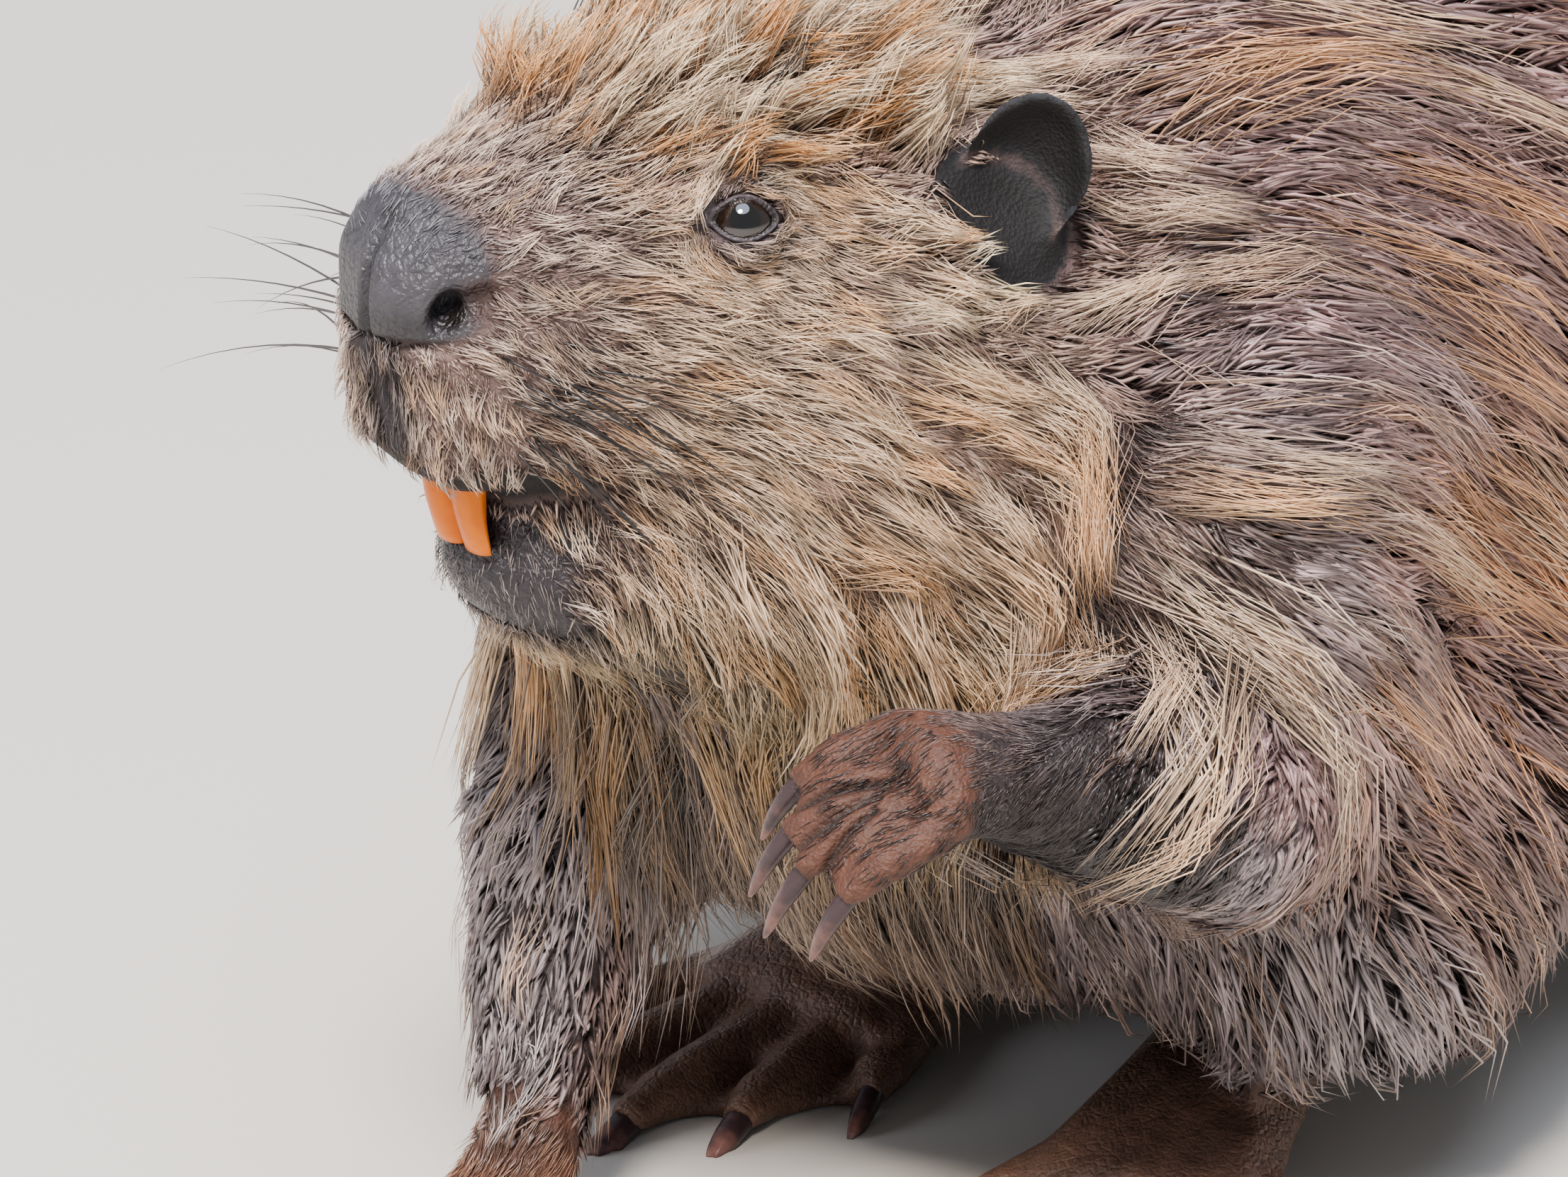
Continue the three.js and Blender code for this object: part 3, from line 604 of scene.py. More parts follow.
def normals_of(points, triangles):
    """Each vertex's normal from its triangles, larger ones counting more."""
    a, b, c = (points[triangles[:, i]] for i in range(3))
    faces = np.cross(b - a, c - a)
    total = np.zeros_like(points)
    for i in range(3):
        for j in range(3):
            total[:, j] += np.bincount(triangles[:, i], faces[:, j], len(points))
    return unit(total)


def shape_skin(triangle_share):
    """Makes the skin's mesh and fills Hide with what the coat needs."""
    flesh, tree, face_kinds = join_flesh(0.55 * MM)
    mesh = worked(flesh, "REMESH", mode="VOXEL", voxel_size=VOXEL)
    points = read(mesh.vertices, "co", 3).astype(float)
    both = neighbours(mesh)
    kind = kinds_at(points, tree, face_kinds)
    spread = relax(both, per_kind(SPREAD, kind), 30)
    depth = relax(both, coat_depth(points, kind), 40)
    places = in_head(points)
    # The nose, the lips' edges and the cheeks' rims keep their shape, so they are smoothed less.
    fine = (1 - smooth_step(16, 34, places[:, 1])) * is_one(kind, "head")
    spread = spread * (1 - 0.55 * fine)
    points = relax(both, points, 2 * (spread * MM / VOXEL) ** 2)
    set_points(mesh, points)
    points = points - read(mesh.vertices, "normal", 3) * depth[:, None] * MM
    points = relax(both, points, np.where(depth > 5, 40, 3))
    set_points(mesh, points)
    # Where the skin keeps more of its triangles.
    kept = relax(both, is_one(kind, *HEAD_KINDS, "forepaw", "hind_foot").astype(float), 6)
    kept *= np.where(is_one(kind, "head"), 1 - 0.8 * smooth_step(100, 140, places[:, 1]), 1)
    kept *= np.where(is_one(kind, "hind_foot"), 0.55, 1)
    arms = is_one(kind, "forearm_left", "forearm_right")
    kept = np.maximum(kept, 0.6 * relax(both, arms.astype(float), 12))
    mesh = worked(mesh, "DECIMATE", group=1 - kept, ratio=triangle_share, vertex_group_factor=1000.0)
    refine_face(mesh)
    points = read(mesh.vertices, "co", 3).astype(float)
    points = carve_face(points)
    points = part_fingers(points, read(mesh.vertices, "normal", 3))
    points[:, 2] = np.maximum(points[:, 2], 2 * FLOOR_GAP)
    set_points(mesh, points)
    Hide.points = points
    Hide.triangles = read(mesh.loops, "vertex_index", 1, np.int32).reshape(-1, 3)
    Hide.normals = normals_of(points, Hide.triangles)
    Hide.both = neighbours(mesh)
    Hide.kind = kinds_at(points, tree, face_kinds)
    a, b, c = (points[Hide.triangles[:, i]] for i in range(3))
    Hide.area = np.linalg.norm(np.cross(b - a, c - a), axis=1) / 2
    Hide.tree = tree_of(points)
    Hide.solid_trees = {}
    for node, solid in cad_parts.items():
        if node.startswith(("incisor", "fore_claw", "eye", "forepaw_left")):
            bm = bmesh.new()
            bm.from_mesh(solid.data)
            Hide.solid_trees[node] = BVHTree.FromBMesh(bm)
            bm.free()
    return mesh


def refine_face(mesh):
    """Splits the skin's faces round the eyes and nostrils twice, for the lids and the nose."""
    for reach in (15.0, 12.0):
        points = read(mesh.vertices, "co", 3)
        places = in_head(points)
        chosen = np.zeros(len(points), bool)
        for hand in SIDES.values():
            to_eye = places * (hand, 1, 1) - EYE_AT
            chosen |= (np.linalg.norm(to_eye, axis=1) < reach) & (dot(to_eye, EYE_AXIS) > 1.5)
            to_nostril = places * (hand, 1, 1) - NOSTRIL_AT
            chosen |= np.linalg.norm(to_nostril, axis=1) < reach
        chosen |= (np.abs(places[:, 0]) < reach / 3) & (places[:, 1] < 12) & (places[:, 2] > -36)
        if reach == 15.0:
            low, high = (np.array(corner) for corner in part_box("forepaw_left"))
            chosen |= ((points > low - 2 * MM) & (points < high + 2 * MM)).all(axis=1)
        refine(mesh, chosen)
    bm = bmesh.new()
    bm.from_mesh(mesh)
    bmesh.ops.triangulate(bm, faces=bm.faces)
    bm.to_mesh(mesh)
    bm.free()


def ear_inside(points, normals, kind):
    """How far a point is on the inner face of an ear's bowl, 0 to 1."""
    inside = np.zeros(len(points))
    for hand in SIDES.values():
        turn = math.radians(-hand * EAR["turn"])
        out = HEAD_AXES @ np.array((math.cos(turn) * hand, math.sin(turn) * hand, 0.0))
        mine = is_one(kind, "ear") & (in_head(points)[:, 0] * hand > 0)
        inside += mine * smooth_step(0.0, 0.45, normals @ out)
    return inside


def nose_pad(places):
    """How far a place in the head's frame is on the bare nose pad, 0 to 1."""
    l, b, u = places.T
    deep = np.clip(13 - 0.16 * u, 6, 16)
    q = (np.abs(l) / 27) ** 2.6 + (np.abs(u - 4.0) / 14.5) ** 2.6 + (np.abs(b - 2) / deep) ** 2.6
    return 1 - smooth_step(0.8, 1.12, q)


def philtrum(places):
    """How far a place is on the bare dark strip from the nose to the upper lip, 0 to 1."""
    l, b, u = places.T
    below_nose = smooth_step(-46, -38, u) * (1 - smooth_step(-14, -8, u))
    return (1 - smooth_step(1.5, 4.5, np.abs(l))) * (b < 16) * below_nose


def read_marks():
    """Fills Hide with masks: where the skin is bare, and what kind of bare skin it is."""
    points, normals, kind = Hide.points, Hide.normals, Hide.kind
    places = in_head(points)
    l, b, u = places.T
    up = normals @ HEAD_AXES[:, 2]
    is_kind = {k: kind == KINDS.index(k) for k in KINDS}
    Hide.is_kind, Hide.places = is_kind, places
    muzzle = is_kind["head"] | is_kind["lower_jaw"]
    Hide.eye_out = np.minimum(*[eye_polar(points, hand)[1] for hand in SIDES.values()])
    Hide.to_eye = from_pair(places, EYE_AT)
    Hide.nose = softened(nose_pad(places) * muzzle, 2)
    Hide.strip = softened(philtrum(places) * muzzle, 2)
    gum = (np.abs(l) < 26) & (b < 80) & muzzle
    roof = gum & is_kind["head"] & (u < -34) & (up < -0.55)
    bed = gum & is_kind["lower_jaw"] & (up > 0.45)
    Hide.mouth = softened(roof | bed, 2)
    chin_front = is_kind["lower_jaw"] * (1 - smooth_step(44, 60, b)) * (1 - smooth_step(16, 25, np.abs(l)))
    Hide.lip = softened(chin_front * smooth_step(-78, -70, u), 3)
    Hide.ear_in = softened(ear_inside(points, normals, kind), 2)
    Hide.eye_out = np.where(Hide.to_eye < 13, Hide.eye_out, 3.0)
    Hide.lid = (1 - smooth_step(0.1, 0.2, Hide.eye_out)) * (1 - smooth_step(8.6, 10, Hide.to_eye)) * muzzle
    # An oval hollow round each ear, of these half widths in mm, stays bare so that the ear shows.
    hollow = np.array((10, 13, 18))
    to_hollow = from_pair(places / hollow, (EAR["at"] + np.array((4, 0, 0))) / hollow)
    Hide.ear_bowl = (1 - smooth_step(0.8, 1.15, to_hollow)) * (is_kind["head"] | is_kind["neck"])
    Hide.paw = softened(is_kind["forepaw"] | is_kind["hind_foot"], 5)
    Hide.tail = softened(is_kind["tail"], 4)
    wrist = np.array(middle_of("forepaw_left"))
    elbow = np.array(middle_of("forearm_left"))
    left_arm = (is_kind["forepaw"] | is_kind["forearm_left"] | is_kind["upper_arm"]) & (points[:, 0] > 0.02)
    Hide.up_arm = np.where(left_arm, (points - wrist) @ unit(elbow - wrist) / MM, 99.0)
    Hide.wet_arm = left_arm * smooth_step(4, 9, Hide.up_arm) * (1 - smooth_step(36, 46, Hide.up_arm))
    of_face = (Hide.ear_bowl, Hide.nose, Hide.strip, Hide.mouth, 0.96 * Hide.lip, Hide.ear_in, Hide.lid)
    low = 1 - smooth_step(0.002, 0.006, points[:, 2])
    bare = np.maximum.reduce([*of_face, Hide.wet_arm, Hide.paw, Hide.tail, low])
    Hide.bare = np.clip(bare, 0, 1)


def comb():
    """The lie of the coat: a unit vector along the skin at each of its points."""
    points, normals, places = Hide.points, Hide.normals, Hide.places
    l, b, u = places.T
    back = HEAD_AXES[:, 1]
    down = np.array((0, 0, -1.0))
    fan = unit(places - (0, -4, 3)) @ HEAD_AXES.T
    muzzle = 1 - smooth_step(15, 62, b)
    jowl = 0.8 * smooth_step(-25, -66, u) * (1 - 0.7 * smooth_step(80, 130, b))
    sag = 0.1 + 0.25 * smooth_step(22, -10, u) + jowl
    sag *= 1 - smooth_step(14, 30, u)
    head = back * (1 - muzzle)[:, None] + fan * muzzle[:, None] + down * sag[:, None]
    front = smooth_step(0.05, 0.8, -normals[:, 1])
    flank = np.abs(normals[:, 0])
    flow = np.stack([0 * l, 0.95 * (1 - front), -(0.2 + 0.28 * flank + 0.9 * front)], axis=1)
    is_kind = Hide.is_kind
    muzzle_kinds = is_kind["head"] | is_kind["lower_jaw"] | is_kind["ear"]
    ways = {
        "neck": (0.7, 0.9, -0.3),
        "upper_arm": (0.5, 0.9, -0.45),
        "thigh": (0, 0.55, -0.75),
        "shank": (0, -0.1, -1),
    }
    outward = np.stack([np.clip((points[:, 0] - 0.01) / 0.04, -1, 1), 1 + 0 * l, 1 + 0 * l], axis=1)
    for name, way in ways.items():
        flow = np.where(is_kind[name][:, None], np.array(way, float) * outward, flow)
    faces_front = smooth_step(0.1, 0.7, -normals[:, 1] - 0.4 * normals[:, 2])
    throat = is_kind["neck"] * faces_front * smooth_step(-62, -92, u)
    flow = blend(flow, np.broadcast_to((0, 0.12, -1.0), flow.shape), throat)
    for side in SIDES:
        reach = unit(np.array(middle_of("forepaw_" + side) - middle_of("upper_arm_" + side)))
        # Water draws the lifted forearm's hair down and toward the paw.
        hang = unit(np.array((0.0, 0.1, -0.8)) + 0.8 * reach) if side == "left" else reach
        flow = np.where(is_kind["forearm_" + side][:, None], hang, flow)
        flow = blend(flow, np.broadcast_to(hang, flow.shape), Hide.wet_arm * (side == "left"))
    for side, hand in SIDES.items():
        mine = is_kind["forepaw"] & (points[:, 0] * hand > 0)
        paw = np.array(middle_of("forepaw_" + side))
        tip = np.array(middle_of(f"fore_claw_{side}_3"))
        flow = np.where(mine[:, None], unit(tip - paw), flow)
    flow = np.where((is_kind["tail_base"] | is_kind["tail"])[:, None], np.array((0, 1.0, -0.05)), flow)
    flow = np.where(muzzle_kinds[:, None], head, flow)
    flow = unit(flow)
    # Hair parts round the eye instead of running over it.
    for hand in SIDES.values():
        toward = unit(EYE_AT * (hand, 1, 1) - places) @ HEAD_AXES.T
        near = 1 - smooth_step(9, 26, np.linalg.norm(places - EYE_AT * (hand, 1, 1), axis=1))
        flow -= toward * (np.maximum(dot(flow, toward), -0.2) * near * 1.25)[:, None]
    flow = relax(Hide.both, flow, np.where(muzzle_kinds, 14, 40))
    flow -= normals * dot(flow, normals)[:, None]
    flow = unit(flow)
    swirl = 0.22 * ripple(points, 0.075, 5) + 0.16 * ripple(points, 0.03, 6)
    flow = flow * np.cos(swirl)[:, None] + np.cross(normals, flow) * np.sin(swirl)[:, None]
    Hide.flow = unit(flow)


def mark():
    """The markings, on skin and coat alike: the underfur's and the guard hairs' colour at each point."""
    colours = bpy.context.scene.beaver_coat
    points, normals, places = Hide.points, Hide.normals, Hide.places
    l, b, u = places.T
    is_kind = Hide.is_kind
    on_head = softened(is_kind["head"] | is_kind["lower_jaw"] | is_kind["ear"], 30)
    patch = ripple(points, 0.06, 11)
    small = ripple(points, 0.02, 12)
    guard = np.broadcast_to(np.array(colours.body_guard), points.shape).copy()
    under = np.broadcast_to(np.array(colours.body_under), points.shape).copy()
    back = smooth_step(0.1, 0.75, normals[:, 2]) * (1 - on_head)
    faces_front = smooth_step(0.1, 0.7, -normals[:, 1] - 0.3 * normals[:, 2])
    breast = faces_front * (1 - on_head) * (points[:, 1] < -0.2)
    # Down-facing coat is painted a darker brown: partly the belly's wet coat, partly painted shade
    # underneath.
    belly = smooth_step(0.1, 0.8, -normals[:, 2]) * (1 - on_head)
    brow = on_head * smooth_step(16, 27, u) * smooth_step(25, 45, b) * (1 - smooth_step(95, 125, b))
    tufts = np.clip(0.1 + 0.5 * patch + 0.9 * small, 0, 1)
    muzzle = on_head * (1 - smooth_step(24, 48, b))
    throat = on_head * smooth_step(-48, -74, u) * smooth_step(30, 50, b)
    dark_strip = on_head * (1 - smooth_step(4, 11, np.abs(l))) * (b < 20) * (u < -8)
    ring = 1 - smooth_step(8.5, 15, Hide.to_eye)
    paw = softened(is_kind["forepaw"] | is_kind["hind_foot"], 6)
    damp = 1 - smooth_step(50, 84, Hide.up_arm)
    deep_breast = np.array(colours.breast_guard) * 0.45
    # Under the chin the underfur is painted far darker: partly its own dark colour, partly painted shade
    # under the jaw.
    deep_throat = np.array(colours.throat_guard) * 0.2
    # Each patch: where it is, its guard hairs' colour and share, and its underfur's colour and share.
    patches = (
        (back, colours.back_guard, 0.9, BLACK, 0),
        (breast, colours.breast_guard, 0.8, deep_breast, 0.7),
        (belly, colours.belly_guard, 0.8, BLACK, 0),
        (on_head, colours.face_guard, 1, colours.face_under, 1),
        (brow * tufts, colours.brow_guard, 0.6, BLACK, 0),
        (muzzle, colours.muzzle_guard, 0.8, BLACK, 0),
        (throat, colours.throat_guard, 0.8, deep_throat, 0.75),
        (dark_strip, rgb("#5a5052"), 0.85, rgb("#211c1e"), 0.9),
        (Hide.nose, rgb("#8f8c94"), 1, rgb("#4d4b50"), 1),
        (Hide.lip, rgb("#9a8f92"), 0.8, rgb("#2b272c"), 1),
        (ring, rgb("#b5a194"), 0.7, rgb("#54474a"), 0.7),
        (paw, rgb("#b58465"), 1, rgb("#5f4030"), 1),
        (damp, rgb("#6b5f60"), 0.85, rgb("#2b2628"), 0.9),
        (is_kind["ear"], rgb("#5b5450"), 1, rgb("#2c2829"), 1),
    )
    guard = painted(guard, [(colour, share * where) for where, colour, share, _, _ in patches])
    under = painted(under, [(colour, share * where) for where, _, _, colour, share in patches])
    # Painted shade near the ground, partly the wetter coat there: the lower a point is, the darker its coat.
    wet = (1 - on_head) * (1 - paw) * smooth_step(0.17, 0.05, points[:, 2])
    guard = guard * (1 - 0.68 * wet * (1 - 0.8 * breast))[:, None]
    under = under * (1 - 0.75 * wet * (1 - 0.6 * breast))[:, None]
    # Painted shade under the jaw, where the coat is also wetter: the coat is darker there.
    below_jaw = smooth_step(-70, -88, u) * smooth_step(-150, -110, u) * (b < 150)
    throat_shade = (1 - on_head) * below_jaw * (normals[:, 1] < 0.2)
    guard = guard * (1 - 0.7 * throat_shade)[:, None]
    under = under * (1 - 0.75 * throat_shade)[:, None]
    light = 1 + 0.12 * patch + 0.08 * small
    Hide.guard = np.clip(guard * light[:, None], 0, 1)
    Hide.under = np.clip(under * (1 + 0.15 * small)[:, None], 0, 1)


def measure_coat():
    """How long the coat is and how far it rises at each point, in mm."""
    b, u = Hide.places[:, 1], Hide.places[:, 2]
    length = per_kind(LENGTH, Hide.kind)
    depth = per_kind(DEPTH, Hide.kind)
    head = Hide.is_kind["head"] | Hide.is_kind["lower_jaw"]
    face = 4.5 + 9 * smooth_step(12, 55, b) + 13 * smooth_step(60, 150, b)
    face += 11 * smooth_step(-35, -70, u) * smooth_step(45, 80, b)
    face *= 0.42 + 0.58 * smooth_step(9, 28, Hide.to_eye)
    face *= 0.3 + 0.7 * smooth_step(20, 48, from_pair(Hide.places, EAR["at"]))
    face *= 1 - 0.62 * Hide.is_kind["lower_jaw"] * (1 - smooth_step(54, 76, b))
    length = np.where(head, face, length)
    brow = smooth_step(18, 30, u) * smooth_step(22, 40, b) * (1 - smooth_step(90, 125, b))
    face_depth = np.maximum(coat_depth(Hide.points, Hide.kind) * 1.1, 1.1) + 0.6 + 2.6 * brow
    depth = np.where(head, face_depth, depth)
    bare = Hide.is_kind["forepaw"] | Hide.is_kind["hind_foot"] | Hide.is_kind["ear"]
    depth = np.where(bare, 1.0, depth)
    Hide.length = softened(length, 25)
    Hide.lift = softened(depth, 12)


def nearest(tree, points):
    """The index of the tree's point nearest to each point."""
    return np.array([tree.find(p)[1] for p in points])


def tree_of(points):
    """A search tree of points."""
    tree = KDTree(len(points))
    for i, p in enumerate(points):
        tree.insert(p, i)
    tree.balance()
    return tree


def scatter(weight, count, random):
    """Places count roots over the skin by each vertex's weight: their triangles and shares of corners."""
    t = Hide.triangles
    a, b, c = (Hide.points[t[:, i]] for i in range(3))
    area = np.linalg.norm(np.cross(b - a, c - a), axis=1) * weight[t].mean(axis=1)
    total = np.cumsum(area)
    picked = np.searchsorted(total, (np.arange(count) + random.random(count)) / count * total[-1])
    r = np.sqrt(random.random(count))
    s = random.random(count)
    return np.minimum(picked, len(t) - 1), np.stack([1 - r, r * (1 - s), r * s], axis=1)


def at_roots(values, picked, shares):
    """The skin's values at roots, from the corners of their triangles."""
    corners = values[Hide.triangles[picked]]
    return (corners * (shares if values.ndim == 1 else shares[:, :, None])).sum(axis=1)


# Steps in a guide line, and how much longer guides are than the hairs that follow them.
STEPS = 5
GUIDE_REACH = 1.2


def lay_guides(weight, count, reach, swerve, random):
    """Guide lines along the lie of the coat: their points and normals step by step, and their lengths."""
    picked, shares = scatter(weight, count, random)
    at = at_roots(Hide.points, picked, shares)
    length = at_roots(Hide.length, picked, shares) * reach * MM
    path, normal = [at], [unit(at_roots(Hide.normals, picked, shares))]
    turn = random.normal(0, swerve, count)
    for step in range(STEPS):
        near = nearest(Hide.tree, at)
        turned = turn * (1 - 0.25 * step)
        aside = np.cross(Hide.normals[near], Hide.flow[near])
        way = Hide.flow[near] * np.cos(turned)[:, None] + aside * np.sin(turned)[:, None]
        ahead = at + way * (length / STEPS)[:, None]
        near = nearest(Hide.tree, ahead)
        n = Hide.normals[near]
        ahead = ahead - n * dot(ahead - Hide.points[near], n)[:, None]
        at = ahead
        path.append(at)
        normal.append(n)
    return np.stack(path, 1), np.stack(normal, 1), length


def along_path(path, t):
    """The points a share t of the way along each path."""
    x = np.clip(t, 0, 1) * STEPS
    low = np.minimum(x.astype(int), STEPS - 1)
    rows = np.arange(len(path))
    share = (x - low)[:, None]
    return path[rows, low] * (1 - share) + path[rows, low + 1] * share


# Where the rings of a short hair and of a long lock stand, and how wide each is.
SHORT_HAIR = ((0.42, 1.0),)
LONG_HAIR = ((0.28, 1.0), (0.68, 0.72))
# Where a ring's three points stand, in degrees, and a hair's thickness against its width.
RING_ANGLES = (90, 330, 210)
HAIR_FLATNESS = 0.62


def grow(name, weight, count, clump, rings, width, reach, gather, meet, stand, stray, swerve, seed, tone):
    """Grows one layer of the coat and returns its mesh: hairs that gather toward the guides' tips."""
    random = np.random.default_rng(seed)
    share_of_area = (weight[Hide.triangles].mean(axis=1) * Hide.area).sum()
    guides = max(40, int(share_of_area / (clump * MM) ** 2))
    path, normal, guide_length = lay_guides(weight, guides, reach * GUIDE_REACH, swerve, random)
    bold = random.uniform(0.7, 1.25, guides)
    picked, shares = scatter(weight, count, random)
    root = at_roots(Hide.points, picked, shares)
    mine = nearest(tree_of(path[:, 0]), root + random.normal(0, clump * 0.18 * MM, root.shape))
    vary = random.lognormal(0, 0.22, count)
    length = at_roots(Hide.length, picked, shares) * reach * MM * vary
    run = np.clip(length / guide_length[mine], 0.1, 1.0)
    lift = at_roots(Hide.lift, picked, shares) * MM * stand * random.uniform(0.65, 1.1, count) * bold[mine]
    wide = width * MM * random.uniform(0.7, 1.3, count) * np.clip(vary, 0.6, 1.3)
    offset = root - path[mine, 0]
    pull = gather * random.uniform(0.6, 1.1, count)
    flow = unit(along_path(path[mine], run) - path[mine, 0])
    cross = unit(np.cross(flow, normal[mine, 0]))
    bend = random.normal(0, stray, count) * length
    curl = random.normal(0, stray * 0.6, count) * length

    def at(t):
        on = along_path(path[mine], run * t)
        up = unit(along_path(normal[mine], run * t))
        rise = -0.3 * MM + lift * (1 - (1 - t) ** 1.7)
        bent = cross * (bend * t**1.6 + curl * np.sin(math.pi * t))[:, None]
        together = np.clip(pull * min(t / meet, 1.0) ** 1.3, 0, 0.99)
        return on + offset * (1 - together)[:, None] + up * rise[:, None] + bent, up

    stops = [0.0] + [t for t, _ in rings] + [1.0]
    places = [at(t) for t in stops]
    points = [places[0][0]]
    for i, (t, share) in enumerate(rings, start=1):
        here, up = places[i]
        way = unit(places[i + 1][0] - places[i - 1][0])
        side = unit(np.cross(way, up))
        rise = np.cross(side, way)
        for angle in RING_ANGLES:
            x, y = math.cos(math.radians(angle)), math.sin(math.radians(angle)) * HAIR_FLATNESS
            points.append(here + (side * x + rise * y) * (wide * share / 2)[:, None])
    points.append(places[-1][0])
    points = np.stack(points, axis=1)
    points[:, :, 2] = np.maximum(points[:, :, 2], HAIR_FLOOR_GAP)
    per = points.shape[1]
    clear = keep_clear(points, name == "coat_paws")
    points, root, mine, count = points[clear], root[clear], mine[clear], int(clear.sum())
    picked, shares = picked[clear], shares[clear]
    faces = hair_faces(len(rings))
    triangles = (np.arange(count)[:, None, None] * per + faces[None]).reshape(-1, 3)
    mesh = mesh_from(name, points.reshape(-1, 3), triangles)
    along = np.array([0.0] + [t for t, _ in rings for _ in range(3)] + [1.0])
    put_attribute(mesh, "along", np.tile(along, count))
    put_attribute(mesh, "tint", np.repeat(random.random(count), per))
    guard = at_roots(Hide.guard, picked, shares)
    under = at_roots(Hide.under, picked, shares)
    guard = tone(guard, under, mine, random)
    put_attribute(mesh, "guard", np.repeat(guard, per, axis=0))
    put_attribute(mesh, "under", np.repeat(under, per, axis=0))
    across = np.array([0.5] + [0.5, 0.0, 1.0] * len(rings) + [0.5])
    lay_bake_map(mesh, root, per, across, along)
    return mesh


def keep_clear(points, on_paws):
    """Which hairs keep their middles and tips out of the lifted paw, claws, teeth and eyes."""
    clear = np.ones(len(points), bool)
    for node, tree in Hide.solid_trees.items():
        if on_paws and node.startswith("forepaw"):
            continue
        low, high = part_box(node)
        middle, half = np.array((low + high) / 2), np.array((high - low) / 2) + 3 * MM
        for ring in range(1, points.shape[1], 3):
            near = np.flatnonzero(clear & (np.abs(points[:, ring] - middle) < half).all(axis=1))
            for i in near:
                spot, normal, _, far = tree.find_nearest(points[i, ring])
                if far < CLEARANCE or (Vector(points[i, ring]) - spot).dot(normal) < 0:
                    clear[i] = False
    return clear


def hair_faces(rings):
    """The triangles of one hair: a root point, rings of three and a tip."""
    faces = [(0, 2, 1), (0, 3, 2), (0, 1, 3)]
    for ring in range(rings - 1):
        a = 1 + 3 * ring
        for i in range(3):
            j = (i + 1) % 3
            faces += [(a + i, a + j, a + 3 + j), (a + i, a + 3 + j, a + 3 + i)]
    a = 1 + 3 * (rings - 1)
    tip = 1 + 3 * rings
    faces += [(a + i, a + (i + 1) % 3, tip) for i in range(3)]
    return np.array(faces)


# The width of each tuft's patch on the OFBake map.
PATCH = 0.003


def lay_bake_map(mesh, root, per, across, along):
    """The OFBake map: each tuft a small patch at its root's place, the skin unrolled like a cylinder."""
    centre = root.mean(axis=0)
    spread = root - centre
    axis = np.linalg.eigh(spread.T @ spread)[1][:, -1]
    side = unit(np.cross(axis, (0, 0, 1.0)))
    top = np.cross(side, axis)
    u = (np.arctan2(spread @ side, spread @ top) / (2 * math.pi)) + 0.5
    v = spread @ axis
    v = (v - v.min()) / max(np.ptp(v), 1e-9)
    home = 0.01 + 0.98 * np.stack([u, v], axis=1)
    local = (np.stack([across, along], axis=1) - 0.5) * PATCH
    corners = read(mesh.loops, "vertex_index", 1, np.int32)
    layer = mesh.uv_layers.new(name="OFBake")
    layer.data.foreach_set("uv", (home[corners // per] + local[corners % per]).astype(np.float32).ravel())


# ------------------------------------------------------------------ materials


def hide_material():
    """Beaver skin under wet fur: matte fine-grained hide, pebbled and moist where it is bare."""
    material, tree, shader = new_material("bare_hide")
    at = own_place(tree)
    tone = attribute(tree, "tone", "Color")
    moist = attribute(tree, "moist")
    # Fine mottling of the pigment, about 4 mm across.
    mottle = ranged(tree, noise(tree, at, 240.0, 4.0), (0.3, 0.7), (0.72, 1.25))
    colour = add(tree, "ShaderNodeVectorMath", {0: tone, 1: mottle}, operation="MULTIPLY")
    # Pebbles about 1 mm across on the bare skin, and pores between them.
    pebble = add(tree, "ShaderNodeTexVoronoi", {"Vector": at, "Scale": 1100.0})
    both = maths(tree, "ADD", pebble.outputs["Distance"], noise(tree, at, 1900.0, 3.0))
    # Leathery creases 2 to 3 mm apart where the skin is moist.
    cells = {"Vector": at, "Scale": 430.0}
    crease = add(tree, "ShaderNodeTexVoronoi", cells, feature="DISTANCE_TO_EDGE")
    creased = ranged(tree, crease.outputs["Distance"], (0.0, 0.22), (0.0, 0.9))
    height = maths(tree, "ADD", both, maths(tree, "MULTIPLY", creased, moist))
    inputs = {
        "Base Color": colour.outputs[0],
        "Roughness": ranged(tree, moist, end=(0.75, 0.34)),
        "Normal": bumped(tree, height, 0.5, 0.0006),
        "IOR": 1.4,
    }
    connect(tree, shader, inputs)
    return material


def hair_material():
    """Wet keratin hair: dark at the root, partly as painted shade deep in the coat, paler and straw-like to
    the tip, with a soft long highlight.
    """
    material, tree, shader = new_material("wet_fur")
    along = attribute(tree, "along")
    reach = ranged(tree, along, (0.05, 0.8), interpolation_type="SMOOTHSTEP")
    # Roots are darkened to a third of the underfur's colour: partly the hair's own darker base, partly
    # painted shade deep in the coat.
    dark = {0: attribute(tree, "under", "Color"), "Scale": 0.32}
    root = add(tree, "ShaderNodeVectorMath", dark, operation="SCALE").outputs[0]
    body = mixed(tree, reach, root, attribute(tree, "guard", "Color"))
    light = ranged(tree, attribute(tree, "tint"), end=(0.62, 1.3))
    tip = ranged(tree, along, (0.45, 1.0), (1.0, 1.3))
    lit = {0: body, "Scale": maths(tree, "MULTIPLY", light, tip)}
    colour = add(tree, "ShaderNodeVectorMath", lit, operation="SCALE").outputs[0]
    connect(tree, shader, {"Base Color": colour, "Roughness": 0.34, "IOR": 1.55})
    return material


# The eye's colours from the middle of its pupil to its edge.
EYE_STOPS = (
    (0.0, "#060505"),
    (0.26, "#0a0706"),
    (0.32, "#1a100b"),
    (0.55, "#150d09"),
    (0.66, "#080505"),
    (1.0, "#2a211d"),
)


